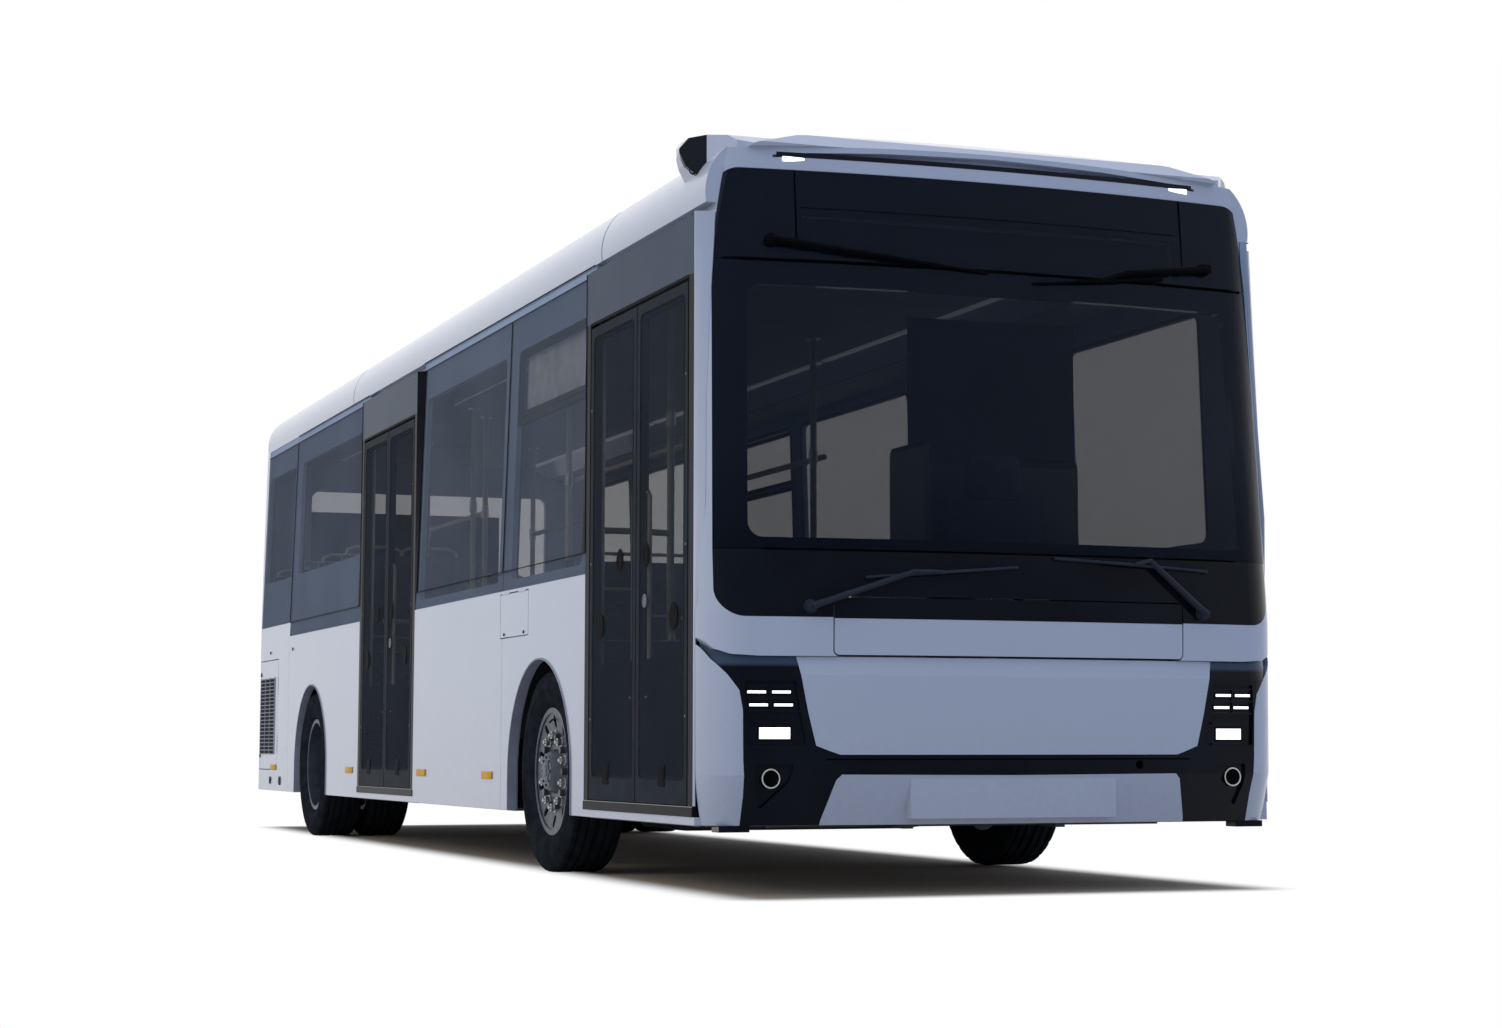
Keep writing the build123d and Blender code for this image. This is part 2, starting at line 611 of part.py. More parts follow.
# Columns: name, doorway centre, +1 where the column is on the rear side
leaf_table = [
    ("front_door_rear", front_door_y, 1),
    ("front_door_front", front_door_y, -1),
    ("rear_door_rear", rear_door_y, 1),
    ("rear_door_front", rear_door_y, -1),
]
for name, centre_y, side in leaf_table:
    leaf_y = centre_y + side * (middle_gap / 2 + leaf_half)
    column_y = leaf_y + side * arm_length
    y0 = leaf_y - leaf_half
    y1 = leaf_y + leaf_half
    leaf = box(-half_width, -half_width + leaf_thick, y0, y1, door_bottom_z, door_top_z)
    hole = along_x(rectangle(y0 + leaf_frame, y1 - leaf_frame, door_bottom_z + 110, door_top_z - 55),
                   -far_x, -1200, 25.0)
    leaf = leaf - hole
    rebate = along_x(rectangle(y0 + leaf_frame - 12, y1 - leaf_frame + 12, door_bottom_z + 98,
                               door_top_z - 43), -far_x, -half_width + glass + glass_gap, 30.0)
    leaf = leaf - rebate
    pane = along_x(rectangle(y0 + leaf_frame - 11, y1 - leaf_frame + 11, door_bottom_z + 99,
                             door_top_z - 44), -half_width, -half_width + glass, 29.0)
    leaf_in_x = -half_width + leaf_thick
    arm_low = arm_low_z + arm_thick
    arm_high = door_top_z + 6.0
    low_lug = box(leaf_in_x - 1, track_x + 18, leaf_y - 25, leaf_y + 25, arm_low + 0.5, arm_low + 34)
    high_lug = box(leaf_in_x - 1, track_x + 18, leaf_y - 25, leaf_y + 25, arm_high - 34, arm_high - 0.5)
    low_lug = low_lug - rod_z(arm_low, arm_low + 24, track_x, leaf_y, pin_radius + running_clearance)
    high_lug = high_lug - rod_z(arm_high - 24, arm_high, track_x, leaf_y, pin_radius + running_clearance)
    leaf = leaf + low_lug + high_lug
    keep(f"{name}_leaf", leaf)
    keep(f"{name}_pane", pane)
    column = rod_z(floor_top + 0.3, header_bottom_z - 0.3, track_x, column_y, column_radius)
    arm = column
    for z0, pin_z0, pin_z1 in ((arm_low_z, arm_low, arm_low + 22), (arm_high, arm_high - 22, arm_high)):
        bar = box(track_x - arm_width / 2 + 4, track_x + arm_width / 2 - 4, min(leaf_y, column_y),
                  max(leaf_y, column_y), z0, z0 + arm_thick)
        eye = rod_z(z0, z0 + arm_thick, track_x, leaf_y, arm_width / 2)
        arm = arm + bar + eye + rod_z(pin_z0 - 1, pin_z1 + 1, track_x, leaf_y, pin_radius)
    keep(f"{name}_arm", arm)

# Rear wall: rounded corners, a window, a hatch and lamps
tail_outer = tail(0.0)
tail_inner = tail(wall)
tail_cut = box(-far_x, far_x, rear_seam_y, far_rear, skirt_z, band_top_z)
rear_wall = (tail_outer & tail_cut) - tail_inner
rear_window_form = rectangle(-930, 930, 1800, 2505)
rear_wall = rear_wall - along_y(rectangle(-900, 900, 1830, 2475), 4900, far_rear, 60.0)
rear_wall = rear_wall - (along_y(rear_window_form, 4900, far_rear, 70.0) - tail(glass + glass_gap))
rear_pane = (along_y(rectangle(-928, 928, 1802, 2503), 4900, far_rear, 68.0) & tail_outer) - tail(glass)

# Rear hatch: (x half, z0, z1), hinged along its top
hatch_half, hatch_z0, hatch_z1 = 760.0, 560.0, 1420.0
hatch_cut = along_y(rectangle(-hatch_half, hatch_half, hatch_z0, hatch_z1), 4900, far_rear, 30.0)
hatch_form = along_y(rectangle(-hatch_half + lid_gap, hatch_half - lid_gap, hatch_z0 + lid_gap,
                               hatch_z1 - lid_gap), 4900, far_rear, 26.0)
rear_wall = rear_wall - hatch_cut
rear_hatch = (tail_outer & hatch_form) - tail(30.0)
rear_wall, rear_hatch = hinge(rear_wall, rear_hatch, rod_x, [-110, 110], rear_face - 1.0,
                              hatch_z1 - lid_gap / 2)

# Rear lamps: x, z, radius or half size of round units on both sides
rear_lamp_table = [(1060, 1150, 55), (1060, 1010, 55), (1060, 870, 55), (1010, 2640, 38)]
rear_lamps = []
for x, z, radius in rear_lamp_table:
    for sign in (-1, 1):
        bore = rod_y(4900, far_rear, sign * x, z, radius)
        rear_wall = rear_wall - bore
        rear_lamps.append((tail(-4.0) & bore) - tail(20.0))
keep("rear_wall", rear_wall)
keep("windows", window_panes + [rear_pane])
keep("rear_hatch", rear_hatch)
keep("rear_lamps", rear_lamps)
rear_bumper = (tail(-35.0) & box(-1215, 1215, 4900, far_rear, skirt_z + 4, 500)) - tail(-0.4)
keep("rear_bumper", rear_bumper & box(-1215, 1215, 5000, far_rear, skirt_z, 500))

# Floor: a low slab, a step and a raised platform, cut over the wheels
floor_half = half_width - wall - 0.4
front_cut = (front_axle_y - box_reach, front_axle_y + box_reach)
rear_cut = (rear_axle_y - box_reach - 30, rear_axle_y + box_reach + 30)
nose_y = -4960.0
floor = box(-floor_half, floor_half, nose_y, step_y + 40, floor_top - floor_thick, floor_top)
floor = floor + box(-floor_half, floor_half, step_y, step_y + 40, floor_top - floor_thick, platform_top)
platform_low = platform_top - platform_thick
floor = floor + box(-floor_half, floor_half, step_y, rear_seam_y, platform_low, platform_top)
for centre_y in door_centres.values():
    floor = floor + box(-half_width + post_depth + 0.4, -floor_half + 5, centre_y - door_half_opening + 2,
                        centre_y + door_half_opening - 2, floor_top - floor_thick, floor_top)
for sign in (-1, 1):
    floor = floor - box(sign * front_box_inner, sign * 1300, front_cut[0], front_cut[1], 200, 900)
    floor = floor - box(sign * rear_box_inner, sign * 1300, rear_cut[0], rear_cut[1], 200, 900)
driver_step_z = 520.0
driver_step_y0, driver_step_y1 = -4560.0, -3330.0
floor = floor + box(180, floor_half - 2, driver_step_y0, driver_step_y1, floor_top - 5, driver_step_z)
floor_ends = nose(wall + 0.4) + box(-1300, 1300, front_seam_y, rear_seam_y, 0, 1500)
keep("floor", floor & floor_ends)

# Wheel boxes: open below and to the outside
wheel_boxes = []
box_rows = [(front_cut, front_box_inner, floor_top), (rear_cut, rear_box_inner, platform_top)]
for (y0, y1), inner_x, low in box_rows:
    for sign in (-1, 1):
        a, b = sorted((sign * (inner_x - box_wall), sign * floor_half))
        c, d = sorted((sign * inner_x, sign * far_x))
        shell = box(a, b, y0 - box_wall, y1 + box_wall, low + 0.3, box_top)
        hollow = box(c, d, y0, y1, 200, box_top - box_wall)
        wheel_boxes.append(shell - hollow)
keep("wheel_boxes", wheel_boxes)

# Chassis: rails under the platform, cross-members and front spring seats
rail_z0, rail_z1 = 610.0, platform_top - platform_thick - 0.4
chassis = box(-480, -400, step_y + 40.4, 4880, rail_z0, rail_z1)
chassis = chassis + box(400, 480, step_y + 40.4, 4880, rail_z0, rail_z1)
for y in (1700, 2450, 3400, 4780):
    chassis = chassis + box(-480, 480, y, y + 60, rail_z0 + 40, rail_z1 - 20)
spring_x = 545.0
front_spring_top = 700.0
spring_seats = []
for sign in (-1, 1):
    post = rod_z(front_spring_top, box_top - box_wall - 0.4, sign * spring_x, front_axle_y, 45)
    plate = rod_z(front_spring_top, front_spring_top + 14, sign * spring_x, front_axle_y, 85)
    spring_seats.append(post + plate)
keep("chassis", [chassis] + spring_seats)

# Front axle: a dropped beam with an eye for each kingpin
hub_z = tyre_radius
eye_half = 62.0
beam_points = [(560, 185), (745, 205), (880, 405), (kingpin_x, 405), (kingpin_x, 530), (850, 530),
               (690, 285), (560, 265)]
front_beam = along_y(beam_points + [(-a, b) for a, b in reversed(beam_points)], front_axle_y - 45,
                     front_axle_y + 45)
spring_pad_z = 430.0
for sign in (-1, 1):
    eye = rod_z(405, 530, sign * kingpin_x, front_axle_y, 45)
    front_beam = front_beam + eye
    front_beam = front_beam + rod_z(240, spring_pad_z, sign * spring_x, front_axle_y, 50)
for sign in (-1, 1):
    front_beam = front_beam - rod_z(380, 560, sign * kingpin_x, front_axle_y, kingpin_radius)
keep("front_axle", front_beam)

# Air springs: bellows between the axles and the body
springs = []


def bellows(x, y, z0, z1, radius):
    """A rolled rubber bellows with three bulges."""
    height = (z1 - z0) / 3
    stack = rod_z(z0, z1, x, y, radius - 18)
    for ring in range(3):
        middle = z0 + height * (ring + 0.5)
        stack = stack + Pos(x, y, middle) * Torus(radius - 26, 26)
    return stack & rod_z(z0, z1, x, y, radius + 10)


for sign in (-1, 1):
    springs.append(bellows(sign * spring_x, front_axle_y, spring_pad_z + 0.4, front_spring_top - 0.4, 95))
rear_spring_low = 560.0
for sign in (-1, 1):
    springs.append(bellows(sign * 300, rear_axle_y, rear_spring_low + 0.4, rail_z1 - 0.4, 90))
keep("air_springs", springs)

# Rear axle: tube, gear case and spindles
spindle_run = spindle_radius - running_clearance
axle_section = [(-1120, 0), (-1120, spindle_run), (-640, spindle_run), (-640, 68), (-190, 68), (-130, 128),
                (-50, 165), (50, 165), (130, 128), (190, 68), (640, 68), (640, spindle_run),
                (1120, spindle_run), (1120, 0)]
rear_axle = Pos(0, rear_axle_y, hub_z) * revolve(outline(axle_section), Axis.X)
for sign in (-1, 1):
    rear_axle = rear_axle + rod_z(hub_z, rear_spring_low, sign * 300, rear_axle_y, 60)
    a, b = sorted((sign * 440, sign * 560))
    rear_axle = rear_axle + box(a, b, rear_axle_y - 50, rear_axle_y + 50, 385, hub_z)
keep("rear_axle", rear_axle)

# Knuckles: a fork round the axle's eye, a kingpin and a spindle
for side, label in ((-1, "right"), (1, "left")):
    pin = rod_z(375, 560, side * kingpin_x, front_axle_y, kingpin_radius - running_clearance)
    upper = rod_z(530.5, 562, side * kingpin_x, front_axle_y, 44)
    lower = rod_z(373, 404.5, side * kingpin_x, front_axle_y, 44)
    a, b = sorted((side * (kingpin_x + 52), side * (kingpin_x + 85)))
    back = box(a, b, front_axle_y - 44, front_axle_y + 44, 373, 562)
    c, d = sorted((side * kingpin_x, side * (kingpin_x + 60)))
    ears = box(c, d, front_axle_y - 40, front_axle_y + 40, 530.5, 562)
    ears = ears + box(c, d, front_axle_y - 40, front_axle_y + 40, 373, 404.5)
    e, f = sorted((side * (kingpin_x + 80), side * 1195))
    spindle = rod_x(e, f, front_axle_y, hub_z, spindle_radius - running_clearance)
    keep(f"knuckle_{label}", pin + upper + lower + ears + back + spindle)

# Tyres and rims, made about the X axis at the origin with the outside towards +X
side_half = tyre_width / 2


def tyre():
    """A tyre revolved from half of its section: tread, shoulder, sidewall and bead."""
    tread_half = side_half - 16
    section = [
        Line((-tread_half, tyre_radius - 6), (-tread_half + 30, tyre_radius)),
        Line((-tread_half + 30, tyre_radius), (tread_half - 30, tyre_radius)),
        Line((tread_half - 30, tyre_radius), (tread_half, tyre_radius - 6)),
        ThreePointArc((tread_half, tyre_radius - 6), (side_half, tyre_radius - 80), (bead_half, bead_top)),
        Line((bead_half, bead_top), (bead_half, bead_radius)),
        Line((bead_half, bead_radius), (-bead_half, bead_radius)),
        Line((-bead_half, bead_radius), (-bead_half, bead_top)),
        ThreePointArc((-bead_half, bead_top), (-side_half, tyre_radius - 80),
                      (-tread_half, tyre_radius - 6)),
    ]
    wires = section[0]
    for edge in section[1:]:
        wires = wires + edge
    return revolve(make_face(wires), Axis.X)


def rim_barrel():
    """The rim's barrel, whose flanges hold the tyre's beads."""
    seat_r = bead_radius - bead_gap
    seat_x = bead_half + bead_gap
    flange_x = seat_x + flange_thick
    right = [(flange_x, barrel_inner), (flange_x, flange_radius), (seat_x, flange_radius), (seat_x, seat_r)]
    left = [(-x, r) for x, r in reversed(right)]
    return revolve(outline(right + left), Axis.X)


def rim(disc_x, dish, hub_end):
    """A wheel: barrel, dished disc with vents and nuts, and a bored hub."""
    barrel = rim_barrel()
    thick = 12.0
    disc = revolve(outline([(disc_x, spindle_radius), (disc_x, 205), (disc_x + dish, 273),
                            (disc_x + dish - thick, 274), (disc_x - thick, 209), (disc_x - thick,
                                                                                  spindle_radius)]), Axis.X)
    hub = revolve(outline([(disc_x - 40, spindle_radius), (disc_x - 40, 120), (disc_x, 120), (disc_x, 105),
                           (hub_end - 15, 90), (hub_end, 78), (hub_end, 0.0), (hub_end - 8, 0.0),
                           (hub_end - 8, spindle_radius)]), Axis.X)
    wheel = barrel + disc + hub
    vents = []
    nuts = []
    for step in range(nut_count):
        angle = 360.0 / nut_count * step
        vents.append(Rot(angle, 0, 0) * Pos(disc_x, 0, 232) * Rot(0, 90, 0) * extrude(SlotOverall(58, 34),
                                                                                    amount=200, both=True))
        nuts.append(Rot(angle + 18, 0, 0) * Pos(disc_x + 11, 0, nut_circle / 2) * Rot(0, 90, 0)
                    * Cylinder(16, 24))
    wheel = wheel - vents
    wheel = wheel + nuts
    return wheel


def placed(shape, side, x, y):
    """A wheel part on its side of the bus."""
    turned = shape if side > 0 else mirror(shape, about=Plane.YZ)
    return Pos(side * x, y, hub_z) * turned


tyre_solid = tyre()
front_rim = rim(84.0, 14.0, 132.0)
rear_outer_rim = rim(-110.0 + 22, 60.0, 40.0)
rear_inner_barrel = rim_barrel()
rear_inner_disc = revolve(outline([(92, spindle_radius), (92, 205), (60, 273), (48, 273), (80, 205),
                                   (80, spindle_radius)]), Axis.X)
rear_inner_rim = rear_inner_barrel + rear_inner_disc
hub_tube = revolve(outline([(92, spindle_radius), (92, 110), (twin_spacing - 130, 110),
                            (twin_spacing - 130, spindle_radius)]), Axis.X)
for side, label in ((-1, "right"), (1, "left")):
    keep(f"front_tyre_{label}", placed(tyre_solid, side, front_wheel_x, front_axle_y))
    keep(f"front_rim_{label}", placed(front_rim, side, front_wheel_x, front_axle_y))
    inner_x = rear_outer_x - twin_spacing
    keep(f"rear_tyres_{label}", [placed(tyre_solid, side, rear_outer_x, rear_axle_y),
                                 placed(tyre_solid, side, inner_x, rear_axle_y)])
    inner_wheel = placed(rear_inner_rim + hub_tube, side, inner_x, rear_axle_y)
    keep(f"rear_rims_{label}", inner_wheel + placed(rear_outer_rim, side, rear_outer_x, rear_axle_y))

# Heavy masses: the traction motor and the battery packs as plain blocks
motor_half, motor_y0, motor_y1, motor_z0, motor_z1 = 399.6, 3480.0, 4060.0, 330.0, 720.0
pack_half, pack_low, pack_top = 1150.0, 320.0, rail_z0 - 0.4
# Battery packs: y0, y1
pack_table = [(4130.0, 4760.0), (step_y + 60, 2240.0)]
keep("traction_motor", box(-motor_half, motor_half, motor_y0, motor_y1, motor_z0, motor_z1))
keep("battery_packs", [box(-pack_half, pack_half, y0, y1, pack_low, pack_top) for y0, y1 in pack_table])

# Roof unit and wipers
unit_half, unit_y0, unit_y1, unit_top = 930.0, 700.0, 3300.0, 3098.0
unit_rounding = 40.0
unit = box(-unit_half, unit_half, unit_y0, unit_y1, crown_z - 60, unit_top)
unit = fillet(unit.edges().filter_by(Axis.Z) + unit.faces().sort_by(Axis.Z)[-1].edges(), unit_rounding)
keep("roof_unit", unit - roof_whole)

nose_skin = nose_form(-0.4)

# Wipers: pivot (x, z), elbow (x, z), blade ends (x, z) and (x, z)
wiper_table = [
    ((-866, 1124), (-444, 1266), (-640, 1240), (9, 1293)),
    ((866, 1124), (609, 1336), (175, 1334), (900, 1300)),
    ((-980, 2590), (-700, 2560), (-740, 2560), (-60, 2500)),
    ((980, 2590), (560, 2540), (140, 2470), (760, 2530)),
]


def glass_y(x, z, out):
    """A point's place in front of the nose's skin."""
    return front_y(z) + bow(x) - out


def bar_between(p, q, out_p, out_q, radius):
    """A round bar between two points given on the front."""
    start = Vector(p[0], glass_y(p[0], p[1], out_p), p[1])
    end = Vector(q[0], glass_y(q[0], q[1], out_q), q[1])
    plane = Plane(origin=start, z_dir=end - start)
    return extrude(plane * Circle(radius), amount=(end - start).length)


wipers = []
for pivot, elbow, blade_a, blade_b in wiper_table:
    base = rod_y(glass_y(pivot[0], pivot[1], 40), glass_y(pivot[0], pivot[1], -10), pivot[0], pivot[1], 18)
    arm = bar_between(pivot, elbow, 30, 30, 8)
    blade = bar_between(blade_a, blade_b, 22, 22, 9)
    link = bar_between(elbow, ((blade_a[0] + blade_b[0]) / 2, (blade_a[1] + blade_b[1]) / 2), 30, 24, 7)
    wipers.append((base + arm + link + blade) - nose_skin)
keep("wipers", wipers)

# Cabin: seats, driver's place, partition and poles
seat_width = 430.0
seat_side = [(-210, 380), (-215, 440), (190, 455), (250, 1010), (300, 1010), (255, 400), (120, 370)]
# Columns: x, y, floor height
seat_table = [(-1000, -1700, floor_top), (-560, -1700, floor_top), (-1000, -900, floor_top),
              (-560, -900, floor_top), (1000, -1600, floor_top), (560, -1600, floor_top),
              (1000, -800, floor_top), (560, -800, floor_top), (1000, 900, floor_top),
              (560, 900, floor_top)]
for x in (-1000, -640, 640, 1000):
    seat_table.append((x, 2050, platform_top))
box_seat_rows = (2820, 3600)
for y in box_seat_rows:
    for x in (-1000, 1000):
        seat_table.append((x, y, platform_top))
for x in (-1000, -500, 0, 500, 1000):
    seat_table.append((x, 4500, platform_top))
seats = []
for x, y, base_z in seat_table:
    low = box_top if y in box_seat_rows else base_z
    shell = along_x([(y + a, base_z + b) for a, b in seat_side], x - seat_width / 2, x + seat_width / 2)
    leg = box(x - 120, x + 120, y - 60, y + 120, low + 0.3, base_z + 420)
    seats.append(shell + leg)

driver_x, driver_y = 640.0, -3820.0
driver_seat = along_x([(driver_y - 240, 920), (driver_y - 230, 1010), (driver_y + 170, 1000),
                       (driver_y + 260, 1720), (driver_y + 340, 1720), (driver_y + 290, 900)],
                      driver_x - 250, driver_x + 250)
driver_seat = driver_seat + box(driver_x - 160, driver_x + 160, driver_y - 120, driver_y + 220,
                                driver_step_z + 0.3, 930)
keep("seats", seats + [driver_seat])

dash_side = [(-4950, 560), (-4950, 1300), (-4820, 1330), (-4560, 1180), (-4540, 1120), (-4700, 1060),
             (-4760, 560)]
dash = along_x(dash_side, 60, 1180)
dash = dash - (nose_outer - nose(wall + 0.5)) - box(-far_x, far_x, far_front, -4800, 200, 1079)
steering_place = Pos(driver_x, -4440.0, 1130.0) * Rot(-35, 0, 0)
column_length = 620.0
column_fit = 0.4
rim_size, rim_thick, column_round = 225.0, 17.0, 26.0
wheel_form = Torus(rim_size, rim_thick) + Cylinder(45, 50)
for angle in (90, 210, 330):
    wheel_form = wheel_form + Rot(0, 0, angle) * Pos(115, 0, 0) * Box(230, 36, 14)
wheel_form = wheel_form + Pos(0, 0, -column_length / 2) * Cylinder(column_round, column_length)
column_bore = Cylinder(column_round + column_fit, column_length + 2)
dash = dash - steering_place * Pos(0, 0, -column_length / 2) * column_bore
keep("dashboard", dash)
keep("steering_wheel", steering_place * wheel_form)

partition_points = [(1170, -3330), (300, -3330), (140, -3480), (140, -3900)]
partition = offset(FilletPolyline(*partition_points, radius=140), 12, side=Side.BOTH)
partition_height = 1400.0
partition = extrude(Pos(0, 0, driver_step_z + 0.3) * make_face(partition), amount=partition_height)
keep("driver_partition", partition)

# Columns: x, y, floor height of each pole
pole_table = [(-820, -3180, box_top), (-370, -2700, floor_top), (370, -1940, floor_top),
              (-480, -350, floor_top), (480, 250, floor_top), (-560, 1500, floor_top),
              (380, 1900, platform_top), (-380, 1900, platform_top), (380, 3500, platform_top),
              (-380, 3500, platform_top)]
poles = []
for x, y, base_z in pole_table:
    top_z = ceiling_z
    if abs(x) > 760:
        top_z = ceiling_z - (abs(x) - 760) * 0.75 - 14
    poles.append(rod_z(base_z + 0.3, top_z - 0.3, x, y, 17))
keep("poles", poles)
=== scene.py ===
import bmesh
import bpy
import math
from mathutils import Matrix, Vector


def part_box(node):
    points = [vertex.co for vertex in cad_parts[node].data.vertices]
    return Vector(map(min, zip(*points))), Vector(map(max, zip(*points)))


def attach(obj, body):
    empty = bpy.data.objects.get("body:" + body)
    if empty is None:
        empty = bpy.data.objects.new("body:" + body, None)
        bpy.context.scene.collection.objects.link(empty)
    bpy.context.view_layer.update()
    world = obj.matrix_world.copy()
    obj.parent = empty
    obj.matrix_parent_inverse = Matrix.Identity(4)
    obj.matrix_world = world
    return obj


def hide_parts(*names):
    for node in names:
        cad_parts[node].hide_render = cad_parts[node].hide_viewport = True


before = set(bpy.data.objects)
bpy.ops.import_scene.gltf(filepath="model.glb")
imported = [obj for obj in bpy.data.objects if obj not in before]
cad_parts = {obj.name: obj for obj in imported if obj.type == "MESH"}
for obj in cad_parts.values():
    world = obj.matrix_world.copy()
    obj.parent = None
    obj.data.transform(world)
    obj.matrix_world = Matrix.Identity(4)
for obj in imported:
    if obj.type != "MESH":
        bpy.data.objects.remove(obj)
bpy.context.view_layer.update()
scene = bpy.context.scene

# Driving sizes of the bus, in metres, worked out from the frame
wall_low, wall_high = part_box("side_wall_right")
HALF = -wall_low[0]
BELT_Z = wall_high[2]
SKIRT_Z = wall_low[2]
HUB_Z = 0.467
LEAN = 0.038
GLASS_TOP = 2.69
BOW = 8.0
CORNER = 0.185
SIDES = (-1, 1)
WHITE = (1.0, 1.0, 1.0)
BLACK = (0.0, 0.0, 0.0)


# Materials


def scaled(color, factor):
    """A colour times a factor."""
    return tuple(c * factor for c in color)


class Nodes:
    """A node tree, with short calls for the nodes that are used here."""

    def __init__(self, owner):
        owner.use_nodes = True
        self.tree = owner.node_tree

    def link(self, value, socket):
        """Give an input a value or another node's output."""
        if isinstance(value, bpy.types.NodeSocket):
            self.tree.links.new(value, socket)
        elif isinstance(value, tuple) and len(socket.default_value) == 4:
            socket.default_value = (*value, 1.0)
        else:
            socket.default_value = value

    def new(self, kind, output, inputs, **settings):
        """A node's output, from its settings and inputs."""
        node = self.tree.nodes.new("ShaderNode" + kind)
        for key, value in settings.items():
            setattr(node, key, value)
        for key, value in inputs.items():
            self.link(value, node.inputs[key])
        return node.outputs[output]

    def place(self):
        """The object's own coordinates, in metres."""
        return self.new("TexCoord", "Object", {})

    def noise(self, scale, detail=4.0, stretch=WHITE):
        """Noise over the object's own coordinates."""
        place = self.new("Mapping", "Vector", {"Vector": self.place(), "Scale": stretch})
        return self.new("TexNoise", "Fac", {"Vector": place, "Scale": scale, "Detail": detail})

    def maths(self, operation, first, second=0.0, **settings):
        """An operation on outputs and numbers."""
        return self.new("Math", 0, {0: first, 1: second}, operation=operation, **settings)

    def mix(self, share, first, second):
        """A blend of two colours."""
        return self.new("Mix", "Result", {"Factor": share, "A": first, "B": second}, data_type="RGBA")

    def mix_shader(self, share, first, second, end):
        """A blend of two shaders, given to the end node."""
        mixed = self.new("MixShader", "Shader", {"Fac": share, 1: first, 2: second})
        self.link(mixed, self.tree.nodes[end].inputs["Surface"])

    def ramp(self, source, *stops):
        """A colour ramp over a value."""
        color = self.new("ValToRGB", "Color", {"Fac": source})
        elements = color.node.color_ramp.elements
        while len(elements) < len(stops):
            elements.new(0.5)
        for element, (place, tint) in zip(elements, stops):
            element.position = place
            element.color = (*tint, 1.0)
        return color

    def height_fade(self, low_z, high_z):
        """A value that falls from one at a low height to zero at a high one."""
        z = self.new("SeparateXYZ", "Z", {"Vector": self.place()})
        return self.new("MapRange", "Result", {
            "Value": z, "From Min": low_z, "From Max": high_z, "To Min": 1.0, "To Max": 0.0})

    def seen_rays(self):
        """One where a ray looks at the background: straight, in a reflection or through glass."""
        rays = self.new("LightPath", "Is Camera Ray", {})
        total = rays
        for kind in ("Is Glossy Ray", "Is Transmission Ray"):
            total = self.maths("ADD", total, rays.node.outputs[kind], use_clamp=True)
        return total


class Finish(Nodes):
    """A material with one Principled shader."""

    def __init__(self, name, color, rough, **sockets):
        self.mat = bpy.data.materials.new(name)
        super().__init__(self.mat)
        self.shader = self.tree.nodes["Principled BSDF"]
        self.set(Base_Color=color, Roughness=rough, **sockets)

    def set(self, **sockets):
        """Give the shader's sockets values or outputs."""
        for key, value in sockets.items():
            self.link(value, self.shader.inputs[key.replace("_", " ")])

    def shade(self, source, low, high):
        """A two-colour variation."""
        self.set(Base_Color=self.ramp(source, (0.35, low), (0.65, high)))

    def rough(self, source, low, high):
        """A range of roughness."""
        self.set(Roughness=self.new("MapRange", "Result", {"Value": source, "To Min": low, "To Max": high}))

    def bump(self, source, strength, distance):
        """A fine relief."""
        self.set(Normal=self.new("Bump", "Normal", {
            "Height": source, "Strength": strength, "Distance": distance}))

    def darken_low(self, low, high):
        """Painted reflections: a darker specular tint low down, on the panels under the windscreen's clear part."""
        self.set(Specular_Tint=self.mix(self.height_fade(1.3, 1.75), high, low))


def surface(name, color, rough, shade=None, gloss=None, grain=None, **sockets):
    """A finish from noise. shade is (scale, detail, low, high) for its colour, gloss (scale, low, high) for its
    roughness, grain (scale, detail, strength, distance) for its relief."""
    made = Finish(name, color, rough, **sockets)
    if shade:
        made.shade(made.noise(*shade[:2]), *shade[2:])
    if gloss:
        made.rough(made.noise(gloss[0]), *gloss[1:])
    if grain:
        made.bump(made.noise(*grain[:2]), *grain[2:])
    return made.mat


def plain(name, color, rough, ior):
    """A simple moulded or painted surface with a slight variation."""
    return surface(name, color, rough, (9.0, 4.0, scaled(color, 0.88), scaled(color, 1.12)), IOR=ior)


def paint_material():
    """Pale body paint: clear coat, faint orange peel and road film low down."""
    made = Finish("body_paint", (0.56, 0.585, 0.66), 0.32, IOR=1.3, Coat_Weight=0.6, Coat_IOR=1.25,
                  Coat_Roughness=0.04)
    fine = made.noise(38.0, 5.0)
    tint = made.ramp(made.noise(0.9, 3.0), (0.3, (0.545, 0.575, 0.655)), (0.7, (0.575, 0.6, 0.675)))
    film = made.maths("MULTIPLY", made.maths("MULTIPLY", made.height_fade(0.25, 0.95), fine), 0.38)
    made.set(Base_Color=made.mix(film, tint, (0.4, 0.39, 0.385)))
    made.rough(fine, 0.26, 0.38)
    made.bump(made.noise(220.0, 2.0), 0.02, 0.0004)
    return made.mat


def gloss_black_material():
    """Gloss black panels and the printed edge of the glass, with a painted sheen that makes them a little lighter at
    the wings' height.
    """
    sheen = (0.13, 0.16, 0.21)
    made = Finish("gloss_black", (0.008, 0.01, 0.014), 0.08, IOR=1.5, Specular_Tint=sheen)
    black = made.ramp(made.noise(3.0, 3.0), (0.35, (0.005, 0.006, 0.009)), (0.65, (0.008, 0.01, 0.014)))
    # Painted sheen: a lighter blue-grey band at the wings' height
    painted_wing_sheen = made.ramp(made.height_fade(0.86, 1.06), (0.0, BLACK), (0.12, WHITE), (0.78, WHITE), (0.86, BLACK))
    made.set(Base_Color=made.mix(painted_wing_sheen, black, (0.062, 0.088, 0.13)))
    made.rough(made.noise(24.0), 0.05, 0.13)
    # Painted darker reflections low down
    made.darken_low((0.06, 0.07, 0.09), sheen)
    return made.mat


